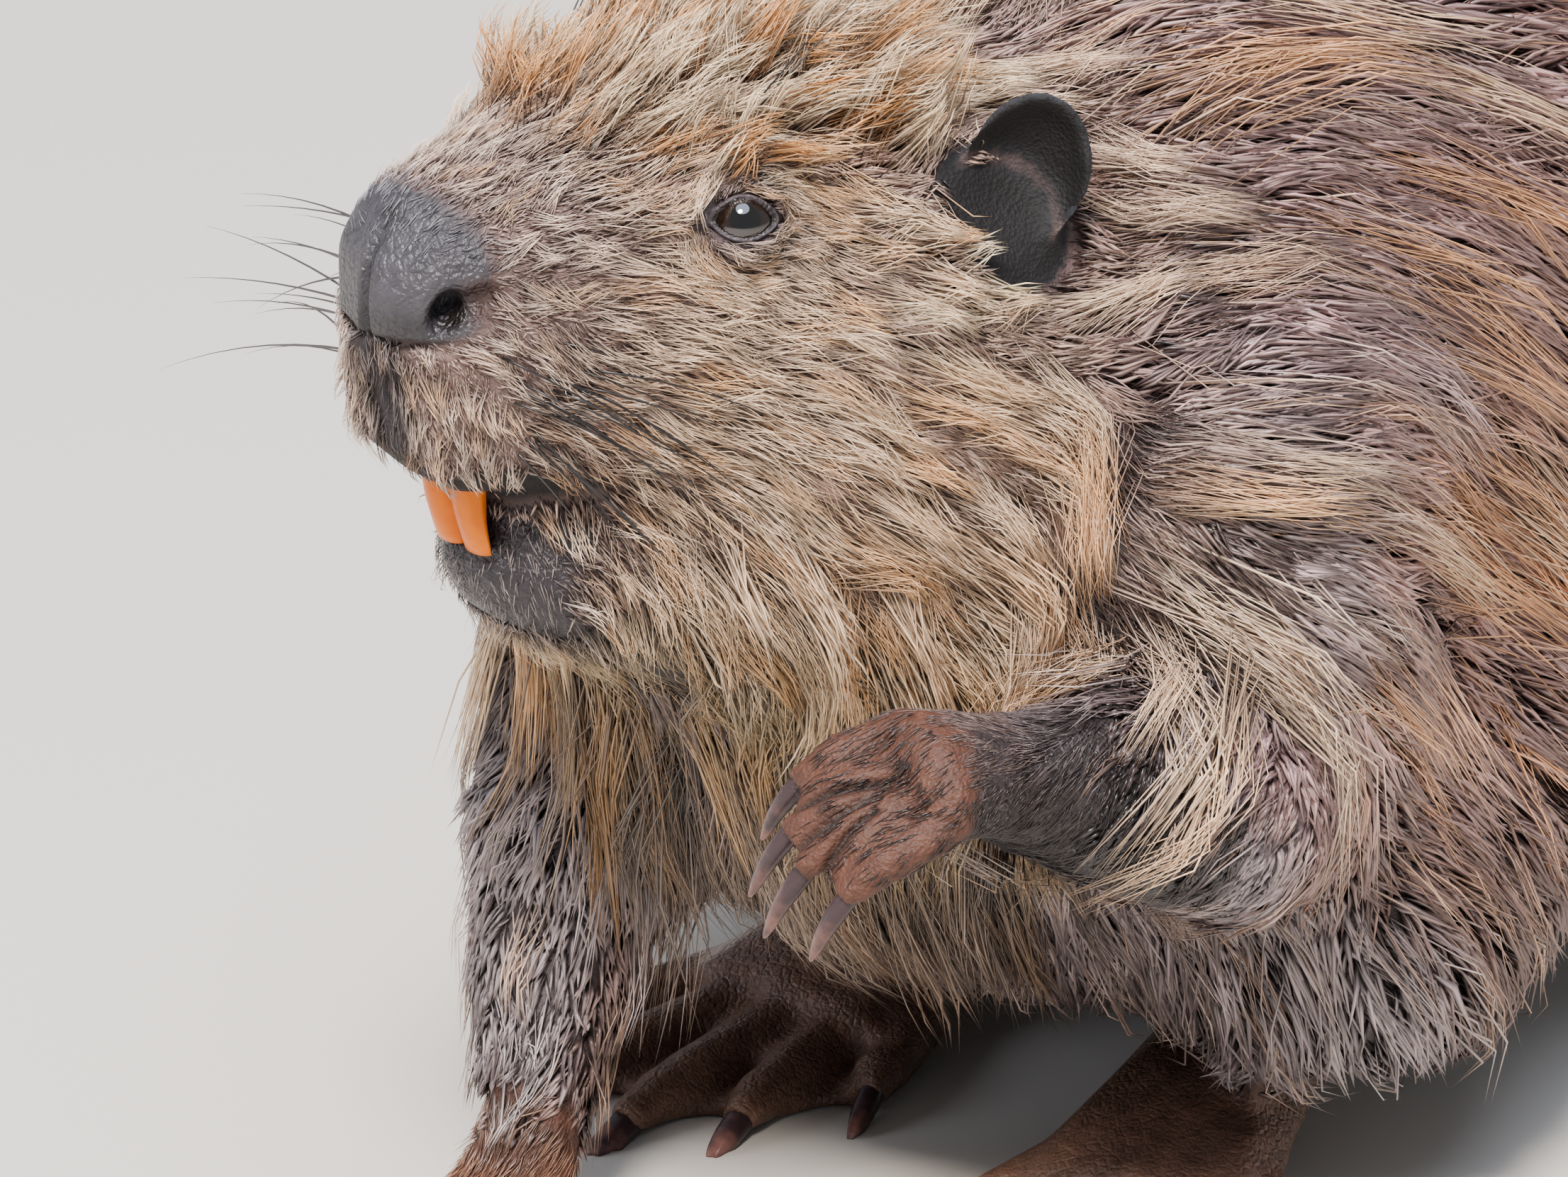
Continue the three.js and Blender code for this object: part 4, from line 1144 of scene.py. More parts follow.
def eye_material():
    """A living eye: near-black brown iris under a clear wet cornea that mirrors its surroundings."""
    material, tree, shader = new_material("wet_eye")
    ramp = add(tree, "ShaderNodeValToRGB", {0: attribute(tree, "away")})
    while len(ramp.color_ramp.elements) < len(EYE_STOPS):
        ramp.color_ramp.elements.new(0.5)
    for element, (at, code) in zip(ramp.color_ramp.elements, EYE_STOPS):
        element.position, element.color = at, linear(code)
    connect(tree, shader, {"Base Color": ramp.outputs[0], "Roughness": 0.04, "IOR": 1.75})
    return material


def enamel_material():
    """Iron-rich incisor enamel: deep orange, glossy, with faint ridges that run down the tooth."""
    material, tree, shader = new_material("iron_enamel")
    colours = bpy.context.scene.beaver_parts
    at = own_place(tree)
    # The ridges run upright, twenty times longer than the 0.8 mm between them.
    drawn = add(tree, "ShaderNodeMapping", {0: at, 3: (1200.0, 1200.0, 60.0)})
    ridges = noise(tree, drawn.outputs[0], 1.0, 3.0)
    stain = noise(tree, at, 160.0, 2.0)
    inputs = {
        "Base Color": mixed(tree, stain, (*colours.enamel_deep, 1), (*colours.enamel_light, 1)),
        "Normal": bumped(tree, ridges, 0.25, 0.0003),
        "Roughness": 0.3,
        "IOR": 1.62,
        "Specular IOR Level": 0.1,
    }
    connect(tree, shader, inputs)
    return material


def horn_material():
    """Claw horn: dark grey-brown and glossy, worn paler toward the tip, with a fine bumpy grain."""
    material, tree, shader = new_material("claw_horn")
    colours = bpy.context.scene.beaver_parts
    at = own_place(tree)
    worn = maths(tree, "MULTIPLY", attribute(tree, "out"), noise(tree, at, 220.0, 3.0))
    share = ranged(tree, worn, (0.25, 0.75))
    inputs = {
        "Base Color": mixed(tree, share, (*colours.claw, 1), (*colours.claw_tip, 1)),
        "Normal": bumped(tree, noise(tree, at, 900.0, 2.0), 0.3, 0.0003),
        "Roughness": 0.32,
        "IOR": 1.54,
        "Specular IOR Level": 0.3,
    }
    connect(tree, shader, inputs)
    return material


def scale_material():
    """Tail scales: dark leathery horn plates, each a little different, with a dull wet shine."""
    material, tree, shader = new_material("tail_scale")
    colours = bpy.context.scene.beaver_parts
    grain = noise(tree, own_place(tree), 1100.0, 4.0)
    inputs = {
        "Base Color": mixed(tree, attribute(tree, "tint"), (*colours.tail, 1), (*colours.tail_light, 1)),
        "Normal": bumped(tree, grain, 0.4, 0.0003),
        "Roughness": 0.42,
    }
    connect(tree, shader, inputs)
    return material


def whisker_material():
    """Whisker keratin: black and smooth, or paler where the whisker's own tone is."""
    material, tree, shader = new_material("whisker_keratin")
    tone = attribute(tree, "tone", "Color")
    connect(tree, shader, {"Base Color": tone, "Roughness": 0.35, "IOR": 1.55})
    return material


# ------------------------------------------------------------------ sizes and colours to change


def shade(name, description, code):
    """A colour that a user can change."""
    return FloatVectorProperty(
        name=name, description=description, subtype="COLOR", size=3, min=0, max=1, default=linear(code)[:3]
    )


class BeaverCoat(bpy.types.PropertyGroup):
    """The coat's thickness and colours."""

    fullness: FloatProperty(
        name="Fullness",
        description="Share of the full number of hairs",
        default=1.0,
        min=0.05,
        max=1.0,
        subtype="FACTOR",
    )
    face_hair: FloatProperty(
        name="Face hair",
        description="Width of a face hair",
        default=0.46 * MM,
        min=0.1 * MM,
        max=2 * MM,
        unit="LENGTH",
    )
    body_hair: FloatProperty(
        name="Body hair",
        description="Width of a body hair",
        default=0.95 * MM,
        min=0.2 * MM,
        max=4 * MM,
        unit="LENGTH",
    )
    face_guard: shade("Face guard hair", "Cream guard hairs of the cheeks", "#f6d8b8")
    face_under: shade("Face underfur", "Soft underfur of the face", "#8a716b")
    brow_guard: shade("Brow hair", "Orange-tan hairs of the forehead", "#dfa763")
    muzzle_guard: shade("Muzzle hair", "Short grey-brown hairs of the muzzle", "#ccb6a8")
    throat_guard: shade("Throat hair", "Olive-tan hairs under the chin", "#84714f")
    body_guard: shade("Body guard hair", "Golden-tan guard hairs of the body", "#dcae8f")
    body_under: shade("Body underfur", "Mauve-brown underfur of the body", "#9c7d7c")
    back_guard: shade("Back guard hair", "Darker guard hairs along the back", "#93828b")
    breast_guard: shade("Breast guard hair", "Grey-mauve hairs of the breast and forelegs", "#cfc8cd")
    # The belly's darker brown is partly painted shade on the down-facing coat.
    belly_guard: shade("Belly guard hair", "Brown hairs of the belly", "#67503f")


class BeaverParts(bpy.types.PropertyGroup):
    """The bare parts' colours."""

    nose: shade("Nose", "Slate skin of the nose pad", "#3b393e")
    lip: shade("Lower lip", "Charcoal skin of the lower lip", "#2b272c")
    ear: shade("Ear", "Near-black skin inside the ear", "#0c0a0c")
    ear_rim: shade("Ear rim", "Blue-grey skin on the ear's rim", "#2c2f36")
    lid: shade("Eyelid", "Pale blue-grey rim of the lids", "#6f6e76")
    forepaw: shade("Forepaw", "Reddish-brown skin of the forepaws", "#4f3024")
    hind_foot: shade("Hind foot", "Brown leathery skin of the hind feet", "#664b3e")
    claw: shade("Claw", "Dark grey-brown horn", "#35272a")
    claw_tip: shade("Claw tip", "Worn, paler horn", "#8f6258")
    enamel_deep: shade("Deep enamel", "Deep orange of the incisors", "#c04c00")
    enamel_light: shade("Light enamel", "Lighter orange of the incisors", "#ee8200")
    tail: shade("Tail scale", "Dark tail scales", "#2e2826")
    tail_light: shade("Light tail scale", "Lighter tail scales", "#4a423e")


class BeaverStage(bpy.types.PropertyGroup):
    """The floor, the light and the camera."""

    floor: shade("Floor", "Pale plain floor", "#cfcac2")
    azimuth: FloatProperty(
        name="Azimuth",
        description="Camera's turn round the beaver",
        default=math.radians(30),
        subtype="ANGLE",
    )
    elevation: FloatProperty(
        name="Elevation",
        description="Camera's height above level",
        default=math.radians(22),
        subtype="ANGLE",
    )
    distance: FloatProperty(
        name="Distance",
        description="Camera's distance from what it looks at",
        default=2.0,
        min=0.5,
        unit="LENGTH",
    )
    aim: FloatVectorProperty(
        name="Aim",
        description="The point the camera looks at",
        default=(0.0193, -0.3711, 0.1741),
        subtype="XYZ",
        unit="LENGTH",
    )
    lens: FloatProperty(
        name="Lens",
        description="Camera's focal length in millimetres",
        default=232.5,
        min=10,
    )


# ------------------------------------------------------------------ operators


class BEAVER_OT_skin(bpy.types.Operator):
    """Make the one skin that takes the place of all the solids of flesh"""

    bl_idname = "beaver.skin"
    bl_label = "Skin"

    def execute(self, context):
        mesh = shape_skin(SKIN_SHARE)
        read_marks()
        comb()
        mark()
        measure_coat()
        parts = context.scene.beaver_parts
        is_kind = Hide.is_kind
        # The nose is darker toward its lower edge and along its middle.
        darker = 0.6 * smooth_step(1, -12, Hide.places[:, 2]) + 0.3 * bell(Hide.places[:, 0], 0, 1.6)
        ear = softened(is_kind["ear"], 2)
        fore = softened(is_kind["forepaw"], 5)
        hind = softened(is_kind["hind_foot"], 5)
        heights = [eye_polar(Hide.points, h)[3] * (Hide.places[:, 0] * h > 0) for h in SIDES.values()]
        low_lid = smooth_step(0.5, -0.6, np.maximum(*heights))
        rim = bell(Hide.eye_out, 0.1, 0.1)
        out_of_hole = smooth_step(3.0, 5.2, from_pair(Hide.places, NOSTRIL_AT + (-2, 2, 0)))
        in_groove = 1 - smooth_step(3, 7, from_pair(Hide.places, NOSTRIL_AT + (2, 7, 2.5)))
        patches = (
            (parts.nose, Hide.nose),
            (BLACK, Hide.nose * darker),
            (parts.lip, np.maximum(Hide.lip, Hide.strip)),
            # The mouth's inside is painted near black as shade.
            (rgb("#0e0b0c"), Hide.mouth),
            (parts.ear_rim, 0.8 * ear),
            (parts.ear, Hide.ear_in),
            (parts.forepaw, fore),
            (parts.hind_foot, hind),
            (rgb("#2e282a"), Hide.wet_arm),
            (np.array(parts.tail) * 0.6, Hide.tail),
            (rgb("#40363a"), smooth_step(0.8, 0.4, Hide.eye_out)),
            (parts.lid, (0.1 + 0.75 * low_lid) * rim),
            # The nostrils' holes are painted near black as shade.
            (rgb("#120e0e"), 1 - out_of_hole),
            (rgb("#33201c"), 0.8 * in_groove * out_of_hole),
            (rgb("#1b1716"), bell(Hide.eye_out, -0.02, 0.07)),
            # Painted shade darkens the grooves between the fingers.
            (rgb("#1c120e"), 0.9 * Hide.furrow),
        )
        tone = painted(Hide.under * 0.5, patches)
        put_attribute(mesh, "tone", tone)
        moist = np.maximum.reduce([Hide.nose, Hide.lip, Hide.lid, 0.4 * fore, hind, Hide.wet_arm])
        put_attribute(mesh, "moist", np.clip(moist, 0, 1))
        place("skin", mesh, hide_material(), SKIN_NODES)
        return {"FINISHED"}


class BEAVER_OT_eyes(bpy.types.Operator):
    """Make the two eyes, each a ball with a slightly domed cornea"""

    bl_idname = "beaver.eyes"
    bl_label = "Eyes"

    def execute(self, context):
        material = eye_material()
        for side, hand in SIDES.items():
            bm = bmesh.new()
            bmesh.ops.create_uvsphere(bm, u_segments=48, v_segments=32, radius=EYE_RADIUS * MM)
            axis = Vector(HEAD_AXES @ (EYE_AXIS * (hand, 1, 1)))
            turn = Vector((0, 0, 1)).rotation_difference(axis).to_matrix().to_4x4()
            middle = from_head(EYE_AT * (hand, 1, 1))
            bmesh.ops.transform(bm, matrix=Matrix.Translation(Vector(middle)) @ turn, verts=bm.verts)
            mesh = mesh_of(bm, "eye_ball_" + side)
            points = read(mesh.vertices, "co", 3).astype(float)
            away = np.degrees(np.arccos(np.clip(dot(unit(points - middle), np.array(axis)), -1, 1))) / 90
            points = middle + (points - middle) * (1 + 0.04 * (1 - smooth_step(0.1, 0.6, away)))[:, None]
            set_points(mesh, points)
            put_attribute(mesh, "away", np.clip(away, 0, 1))
            place("eye_ball_" + side, mesh, material, ["eye_" + side])
        return {"FINISHED"}


def finer_copy(name, node, grow_by, crease):
    """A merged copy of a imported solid, its facets rounded by subdivision."""
    bm = bmesh.new()
    bm.from_mesh(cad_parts[node].data)
    bmesh.ops.remove_doubles(bm, verts=bm.verts, dist=MERGE_DISTANCE)
    bmesh.ops.join_triangles(bm, faces=bm.faces, angle_face_threshold=0.5, angle_shape_threshold=1.2)
    bm.normal_update()
    sharp = bm.edges.layers.float.new("crease_edge")
    for e in bm.edges:
        e[sharp] = crease if e.calc_face_angle(0) > 0.7 else 0.0
    for v in bm.verts:
        v.co += v.normal * grow_by
    finer = worked(mesh_of(bm, name), "SUBSURF", levels=2, render_levels=2)
    points = read(finer.vertices, "co", 3)
    points[:, 2] = np.maximum(points[:, 2], FLOOR_GAP)
    set_points(finer, points)
    return finer


class BEAVER_OT_teeth(bpy.types.Operator):
    """Make the two upper incisors"""

    bl_idname = "beaver.teeth"
    bl_label = "Teeth"

    def execute(self, context):
        material = enamel_material()
        for side in SIDES:
            mesh = finer_copy("tooth_" + side, "incisor_" + side, 0.2 * MM, 0.75)
            place("tooth_" + side, mesh, material, ["incisor_" + side])
        return {"FINISHED"}


class BEAVER_OT_claws(bpy.types.Operator):
    """Make the twenty claws"""

    bl_idname = "beaver.claws"
    bl_label = "Claws"

    def execute(self, context):
        material = horn_material()
        for node in sorted(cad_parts):
            if "claw" not in node:
                continue
            mesh = finer_copy("horn_" + node, node, 0.8 * MM, 0.0)
            middle = np.array(middle_of(paw_of(node)))
            far = np.linalg.norm(read(mesh.vertices, "co", 3) - middle, axis=1)
            put_attribute(mesh, "out", (far - far.min()) / np.ptp(far))
            place("horn_" + node, mesh, material, [node])
        return {"FINISHED"}


class BEAVER_OT_tail(bpy.types.Operator):
    """Cover the flat tail with rows of small scales"""

    bl_idname = "beaver.tail"
    bl_label = "Tail scales"

    def execute(self, context):
        mesh = lay_scales(6.2, 5.2)
        place("tail_scales", mesh, scale_material())
        return {"FINISHED"}


def lay_scales(long, wide):
    """Rows of six-sided scales on both faces of the tail, each row between the last one's. Sizes in mm."""
    tree = BVHTree.FromPolygons(Hide.points.tolist(), Hide.triangles.tolist())
    low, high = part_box("tail")
    at, normal = [], []
    for i, y in enumerate(np.arange(low.y, high.y, long * 0.8 * MM)):
        for x in np.arange(low.x, high.x, wide * MM):
            for z, way in ((high.z + 0.02, -1), (-0.01, 1)):
                start = Vector((x + (i % 2) * wide * 0.5 * MM, y, z))
                hit, facing, face, _ = tree.ray_cast(start, Vector((0, 0, way)))
                if hit is None or abs(facing.z) < 0.45 or Hide.tail[Hide.triangles[face]].min() < 0.6:
                    continue
                at.append(hit)
                normal.append(Hide.normals[Hide.triangles[face]].mean(axis=0))
    at, normal = np.array(at), unit(np.array(normal))
    random = np.random.default_rng(41)
    back = unit(np.array((0, 1.0, 0)) - normal * normal[:, 1:2])
    side = np.cross(back, normal)
    outline = [(0.0, 0.62), (0.52, 0.3), (0.52, -0.28), (0.0, -0.5), (-0.52, -0.28), (-0.52, 0.3)]
    size = random.uniform(0.9, 1.08, len(at))[:, None] * MM
    points = [at + normal * 0.55 * MM + back * 0.12 * long * size]
    for x, y in outline:
        rise = 0.3 if y > 0 else -0.15
        points.append(at + side * x * wide * size + back * y * long * size + normal * rise * MM)
    points.append(at - normal * 0.6 * MM)
    points = np.stack(points, axis=1)
    points[:, :, 2] = np.maximum(points[:, :, 2], FLOOR_GAP)
    faces = []
    for i in range(6):
        j = (i + 1) % 6
        faces += [(0, 1 + j, 1 + i), (7, 1 + i, 1 + j)]
    triangles = (np.arange(len(at))[:, None, None] * 8 + np.array(faces)[None]).reshape(-1, 3)
    mesh = mesh_from("tail_scales", points.reshape(-1, 3), triangles)
    put_attribute(mesh, "tint", np.repeat(random.random(len(at)), 8))
    across = np.array([0.5] + [x + 0.5 for x, _ in outline] + [0.5])
    along = np.array([0.5] + [y + 0.5 for _, y in outline] + [0.5])
    lay_bake_map(mesh, at, 8, across, along)
    return mesh


def soft_tone(guard, under, mine, random):
    """The underfur's hairs: the skin's own colour, lighter toward the tip."""
    share = 0.1 + 0.3 * random.random(len(guard))
    wetness = random.uniform(0.5, 1.2, mine.max() + 1)[mine]
    return blend(under * 1.75, guard, share) * wetness[:, None]


def keep_hue(colours, most):
    """Holds every colour's strongest channel below a limit without changing its hue."""
    return colours * np.minimum(1, most / np.maximum(colours.max(axis=1), 1e-6))[:, None]


def lock_tone(guard, under, mine, random):
    """The guard hairs: whole locks differ, from wet brown through golden tan to pale straw."""
    each, gold, deep = (random.random(mine.max() + 1)[mine][:, None] for _ in range(3))
    lock = guard * (1 + 0.4 * smooth_step(0.3, 0.95, each))
    lock = lock * (1 - smooth_step(0.55, 1.0, gold) * (0.0, 0.2, 0.42))
    return keep_hue(lock * (0.7 + 0.55 * deep) * (0.8 + 0.4 * random.random((len(guard), 1))), 0.88)


def gold_tone(guard, under, mine, random):
    """The longest hairs: wet gold, some whole locks blended toward pale straw."""
    each = random.random(mine.max() + 1)[mine]
    gold = blend(guard, rgb("#dda066"), 0.7 * np.ones(len(guard)))
    return keep_hue(blend(gold, rgb("#f0d2b0"), 0.75 * smooth_step(0.45, 1, each)), 0.85)


def spike_tone(guard, under, mine, random):
    """The spiky hairs of the forehead: cream, with some orange-gold locks among them."""
    each = random.random(mine.max() + 1)[mine]
    gold = 0.9 * smooth_step(0.45, 0.7, each)
    cream = rgb("#e9cda8") + 0 * guard
    light = random.uniform(0.7, 1.1, (len(guard), 1))
    return keep_hue(blend(cream, rgb("#d68f45"), gold) * light, 0.85)


def paw_tone(guard, under, mine, random):
    """The paws' fine silky hair."""
    return blend(guard, under, 0.6 * random.random(len(guard)))


def zone_weights():
    """How much each stretch of the coat covers each point."""
    b = Hide.places[:, 1]
    k = Hide.is_kind
    furred = np.clip(1 - Hide.bare * 1.05, 0, 1)
    u = Hide.places[:, 2]
    muzzle = (k["head"] | k["lower_jaw"]) * 1.0
    front = (k["neck"] | k["chest"] | k["upper_arm"] | k["forearm_left"] | k["forearm_right"]) * 1.0
    trunk = (k["abdomen"] | k["rump"]) * 1.0
    haunch = (k["thigh"] | k["shank"] | k["tail_base"]) * 1.0
    hide_top = 1 - smooth_step(0.35, 0.7, -Hide.normals[:, 2])
    # Hairs part round the eye and at the elbow, so more of them grow there.
    furred = furred * (1 + 2.0 * bell(Hide.up_arm, 60, 24))
    furred = furred * (1 + 2.2 * (1 - smooth_step(9, 17, Hide.to_eye)))
    low_foot = 0.25 * k["hind_foot"] * smooth_step(0.02, 0.05, Hide.points[:, 2])
    outer_ear = k["ear"] * (Hide.ear_in < 0.02) * 1.0
    paws = (1 - Hide.mouth) * (k["forepaw"] * (1 - Hide.furrow) + Hide.wet_arm + low_foot + outer_ear)
    paws = paws + 0.35 * Hide.lip + 0.8 * Hide.strip + 0.7 * Hide.nose * smooth_step(5, 15, u)
    mane = (k["neck"] + k["upper_arm"] * 0.6 + k["abdomen"] + 0.7 * k["rump"] + 0.3 * k["thigh"]) * hide_top
    below = smooth_step(-34, -52, u)
    zones = {
        "face": muzzle * (b < 78),
        "crown": muzzle * (b >= 78) * (1 - k["ear"]),
        "front": front,
        "trunk": trunk,
        "haunch": haunch,
        "long": mane * smooth_step(0.11, 0.17, Hide.points[:, 2]),
        "brow": muzzle * smooth_step(20, 30, u) * smooth_step(24, 40, b) * (1 - smooth_step(90, 120, b)),
        "fringe": muzzle * below * smooth_step(52, 70, b) * (1 - smooth_step(140, 165, b)),
    }
    return {**{name: furred * weight for name, weight in zones.items()}, "paws": paws}


# Each layer of the coat: its stretch, hairs, gap between locks in mm, rings, width against the hair's own
# width, length against the coat's, how far hairs gather in a lock, where along it they meet, how far they
# stand and stray, how far locks swerve, and its colouring.
LAYERS = {
    "face_under": ("face", 28000, 3.5, SHORT_HAIR, 1.05, 0.55, 0.55, 1.0, 0.62, 0.1, 0.2, soft_tone),
    "face_guard": ("face", 15500, 4.6, LONG_HAIR, 0.58, 1.5, 0.96, 0.85, 1.6, 0.09, 0.36, lock_tone),
    "crown_under": ("crown", 26000, 4.5, SHORT_HAIR, 1.5, 0.6, 0.6, 1.0, 0.65, 0.1, 0.2, soft_tone),
    "crown_guard": ("crown", 11000, 10.5, LONG_HAIR, 0.7, 1.4, 0.975, 0.7, 1.4, 0.06, 0.24, lock_tone),
    "front_under": ("front", 31000, 6, SHORT_HAIR, 1.35, 0.38, 0.7, 1.0, 0.75, 0.08, 0.3, soft_tone),
    "front_guard": ("front", 3600, 18, LONG_HAIR, 0.6, 1.2, 0.98, 0.55, 1.05, 0.04, 0.16, lock_tone),
    "trunk_under": ("trunk", 31000, 7, SHORT_HAIR, 1.7, 0.42, 0.7, 1.0, 0.75, 0.08, 0.3, soft_tone),
    "trunk_guard": ("trunk", 4600, 20, LONG_HAIR, 0.75, 1.2, 0.98, 0.55, 1.0, 0.04, 0.16, lock_tone),
    "haunch_under": ("haunch", 20000, 6.5, SHORT_HAIR, 1.5, 0.42, 0.7, 1.0, 0.8, 0.08, 0.3, soft_tone),
    "haunch_guard": ("haunch", 4000, 14, LONG_HAIR, 0.8, 0.9, 0.97, 0.7, 1.0, 0.05, 0.2, lock_tone),
    "long": ("long", 6500, 26, LONG_HAIR, 0.55, 2.1, 0.985, 0.42, 1.45, 0.025, 0.12, gold_tone),
    "brow": ("brow", 2800, 6, LONG_HAIR, 0.45, 1.1, 0.97, 0.85, 3.4, 0.07, 0.8, spike_tone),
    "fringe": ("fringe", 3000, 11, LONG_HAIR, 0.7, 1.9, 0.975, 0.6, 1.8, 0.05, 0.25, lock_tone),
    "paws": ("paws", 14000, 3, SHORT_HAIR, 0.28, 1.0, 0.4, 1.0, 0.65, 0.08, 0.12, paw_tone),
}


class BEAVER_OT_coat(bpy.types.Operator):
    """Grow the coat's layers: soft underfur below, guard hairs gathered in locks above"""

    bl_idname = "beaver.coat"
    bl_label = "Coat"

    def execute(self, context):
        coat = context.scene.beaver_coat
        material = hair_material()
        zones = zone_weights()
        for seed, (name, layer) in enumerate(LAYERS.items()):
            zone, count, clump, rings, width, *shape, tone = layer
            hair = (coat.face_hair if zone in ("face", "crown") else coat.body_hair) / MM * width
            count = int(count * coat.fullness * (1))
            piece = "coat_" + name
            mesh = grow(piece, zones[zone], count, clump, rings, hair, *shape, COAT_SEED + seed, tone)
            place(piece, mesh, material)
        return {"FINISHED"}


# Whiskers: where their roots start and end in the head's frame in mm, which way they point, how long they
# are in mm, how many, and their colour.
WHISKERS = (
    ((24, 14, -6), (25, 36, -26), (0.72, 1.0, -0.34), (36, 62), 15, "#131011"),
    ((21, 20, -22), (25, 34, -32), (0.6, 0.8, -0.75), (20, 36), 7, "#171312"),
    ((-22, 8, 2), (-25, 26, -24), (-1.0, 0.15, -0.05), (34, 60), 15, "#3c3838"),
    ((28, 60, 34), (30, 66, 35), (0.42, 0.7, 0.95), (46, 60), 2, "#0b0909"),
    ((-24, 58, 31), (-27, 62, 32), (-0.35, 0.75, 0.85), (30, 42), 2, "#100e0e"),
    ((30, 86, -42), (38, 96, -30), (0.6, 0.8, -0.5), (18, 30), 3, "#2a2320"),
)
WHISKER_RINGS = 8
WHISKER_SIDES = 5


def draw_whisker(bm, root, way, length, droop, radius):
    """One tapering whisker of five sides that bends down toward its tip."""
    side = unit(np.cross(way, (0, 0, 1)))
    rise = np.cross(side, way)
    rings = []
    for step in range(WHISKER_RINGS):
        t = step / (WHISKER_RINGS - 1)
        centre = root + way * length * t + np.array((0, 0, -droop * length * t * t)) - way * 1.0 * MM
        thick = radius * (1 - 0.93 * t)
        turns = [2 * math.pi * k / WHISKER_SIDES for k in range(WHISKER_SIDES)]
        ring = [bm.verts.new(centre + (side * math.cos(a) + rise * math.sin(a)) * thick) for a in turns]
        for k in range(WHISKER_SIDES if rings else 0):
            after = (k + 1) % WHISKER_SIDES
            bm.faces.new((rings[-1][k], ring[k], ring[after], rings[-1][after]))
        rings.append(ring)
    bm.faces.new(rings[0])
    bm.faces.new(rings[-1][::-1])


class BEAVER_OT_whiskers(bpy.types.Operator):
    """Set the whiskers on the muzzle, over the eyes and on the cheek"""

    bl_idname = "beaver.whiskers"
    bl_label = "Whiskers"

    def execute(self, context):
        random = np.random.default_rng(17)
        bm = bmesh.new()
        roots, tones = [], []
        for first, last, way, (short, long), count, code in WHISKERS:
            for _ in range(count):
                share = random.random(3)
                root = from_head(np.array(first) * (1 - share) + np.array(last) * share)
                near = Hide.tree.find(root)[1]
                root = Hide.points[near] + Hide.normals[near] * 1.0 * MM
                aim = unit(np.array(way) + random.normal(0, 0.14, 3))
                length = random.uniform(short, long)
                # Whiskers over the eyes rise, and all the others droop.
                droop = random.uniform(0.05, 0.3) * (1 if aim[2] < 0.5 else -0.3)
                draw_whisker(bm, root, HEAD_AXES @ aim, length * MM, droop, random.uniform(0.24, 0.34) * MM)
                roots.append(root)
                tones.append(rgb(code))
        mesh = mesh_of(bm, "whiskers")
        per = WHISKER_RINGS * WHISKER_SIDES
        put_attribute(mesh, "tone", np.repeat(tones, per, axis=0))
        along, across = np.divmod(np.arange(per), WHISKER_SIDES)
        lay_bake_map(mesh, np.array(roots), per, across / WHISKER_SIDES, along / WHISKER_RINGS)
        place("whiskers", mesh, whisker_material())
        return {"FINISHED"}


# Each lamp: its place, its power in watts, its width in metres and its colour. All point at one place.
LAMPS = (
    ("key", (0.5, -1.9, 2.7), 232, 0.8, "#fff4e8"),
    ("top", (0.6, -1.3, 3.0), 105, 2.4, "#dde9ff"),
    ("fill", (-2.0, -1.6, 1.2), 22, 1.8, "#eef2ff"),
    ("rim", (-0.6, 1.8, 2.1), 50, 1.4, "#f2f5ff"),
)
LIT_AT = Vector((0, -0.3, 0.15))


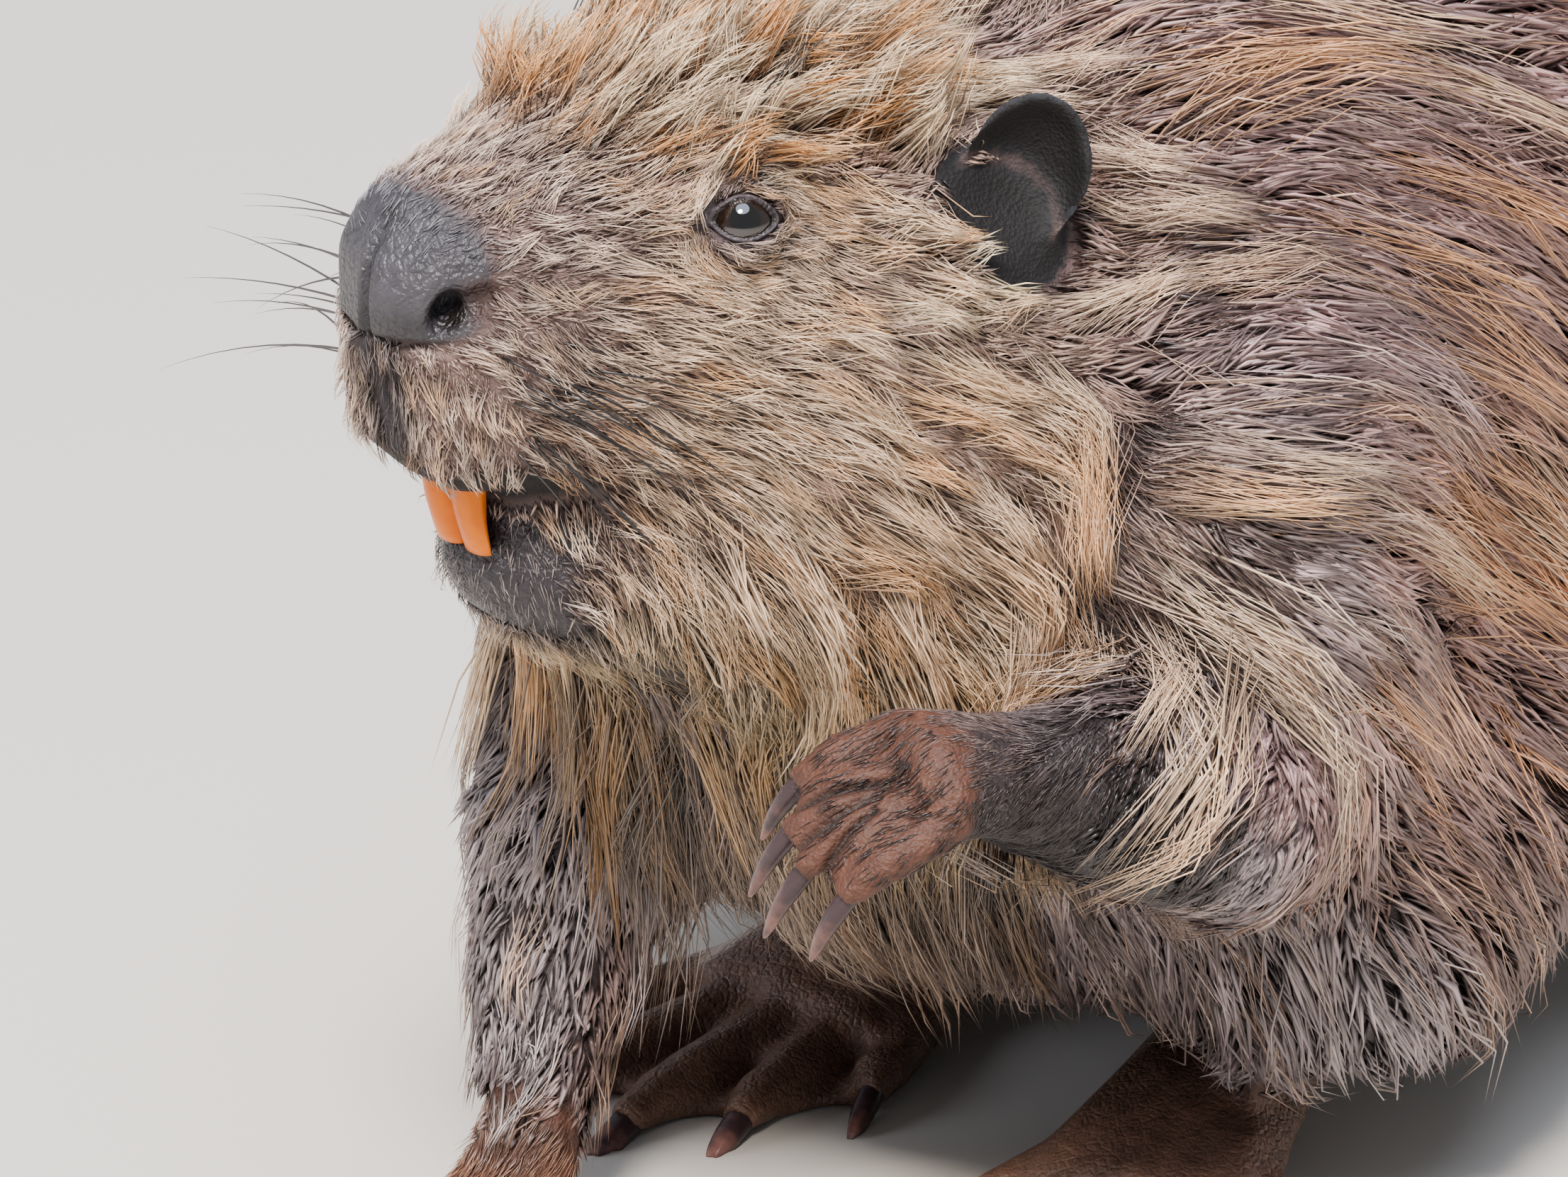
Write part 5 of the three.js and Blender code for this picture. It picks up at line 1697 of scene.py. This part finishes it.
class BEAVER_OT_stage(bpy.types.Operator):
    """Set the pale floor, the soft light and the camera"""

    bl_idname = "beaver.stage"
    bl_label = "Stage"

    def execute(self, context):
        stage = context.scene.beaver_stage
        scene = context.scene
        bm = bmesh.new()
        bmesh.ops.create_grid(bm, x_segments=2, y_segments=2, size=5.0)
        mesh = mesh_of(bm, "floor")
        floor = bpy.data.objects.new("floor", mesh)
        scene.collection.objects.link(floor)
        material, tree, shader = new_material("matte_paper")
        connect(tree, shader, {"Base Color": (*stage.floor, 1), "Roughness": 0.9})
        mesh.materials.append(material)
        for name, at, power, size, code in LAMPS:
            lamp = bpy.data.lights.new(name, "AREA")
            lamp.energy, lamp.size, lamp.color, lamp.shape = power, size, linear(code)[:3], "DISK"
            holder = bpy.data.objects.new(name, lamp)
            holder.location = at
            holder.rotation_euler = (Vector(at) - LIT_AT).to_track_quat("Z", "Y").to_euler()
            scene.collection.objects.link(holder)
        world = bpy.data.worlds.new("pale_sky")
        world.use_nodes = True
        world.node_tree.nodes.clear()
        sky = add(world.node_tree, "ShaderNodeBackground", {"Color": linear("#dfe6ee"), "Strength": 0.5})
        add(world.node_tree, "ShaderNodeOutputWorld", {"Surface": sky.outputs[0]})
        scene.world = world
        camera = bpy.data.cameras.new("camera")
        camera.lens, camera.sensor_width, camera.clip_end = stage.lens, 36, 50
        holder = bpy.data.objects.new("camera", camera)
        a, e = stage.azimuth, stage.elevation
        back = Vector((math.sin(a) * math.cos(e), -math.cos(a) * math.cos(e), math.sin(e)))
        holder.location = Vector(stage.aim) + back * stage.distance
        holder.rotation_euler = back.to_track_quat("Z", "Y").to_euler()
        scene.collection.objects.link(holder)
        scene.camera = holder
        return {"FINISHED"}


OPERATORS = (
    BEAVER_OT_stage,
    BEAVER_OT_skin,
    BEAVER_OT_eyes,
    BEAVER_OT_teeth,
    BEAVER_OT_claws,
    BEAVER_OT_tail,
    BEAVER_OT_coat,
    BEAVER_OT_whiskers,
)
GROUPS = {"beaver_coat": BeaverCoat, "beaver_parts": BeaverParts, "beaver_stage": BeaverStage}


class BEAVER_PT_panel(bpy.types.Panel):
    """The beaver's operators and settings"""

    bl_idname = "BEAVER_PT_panel"
    bl_label = "Beaver"
    bl_space_type = "VIEW_3D"
    bl_region_type = "UI"
    bl_category = "Beaver"

    def draw(self, context):
        for group, kind in GROUPS.items():
            box = self.layout.box()
            for name in kind.__annotations__:
                box.prop(getattr(context.scene, group), name)
        for operator in OPERATORS:
            self.layout.operator(operator.bl_idname)


CLASSES = (*GROUPS.values(), *OPERATORS, BEAVER_PT_panel)


def register():
    """Adds the classes and the scene's settings."""
    for kind in CLASSES:
        bpy.utils.register_class(kind)
    for name, kind in GROUPS.items():
        setattr(bpy.types.Scene, name, PointerProperty(type=kind))


def unregister():
    """Takes the settings and the classes away again."""
    for name in GROUPS:
        delattr(bpy.types.Scene, name)
    for kind in reversed(CLASSES):
        bpy.utils.unregister_class(kind)


def main():
    """Builds the whole model."""
    register()
    for operator in OPERATORS:
        group, name = operator.bl_idname.split(".")
        getattr(getattr(bpy.ops, group), name)()


if __name__ == "__main__":
    main()
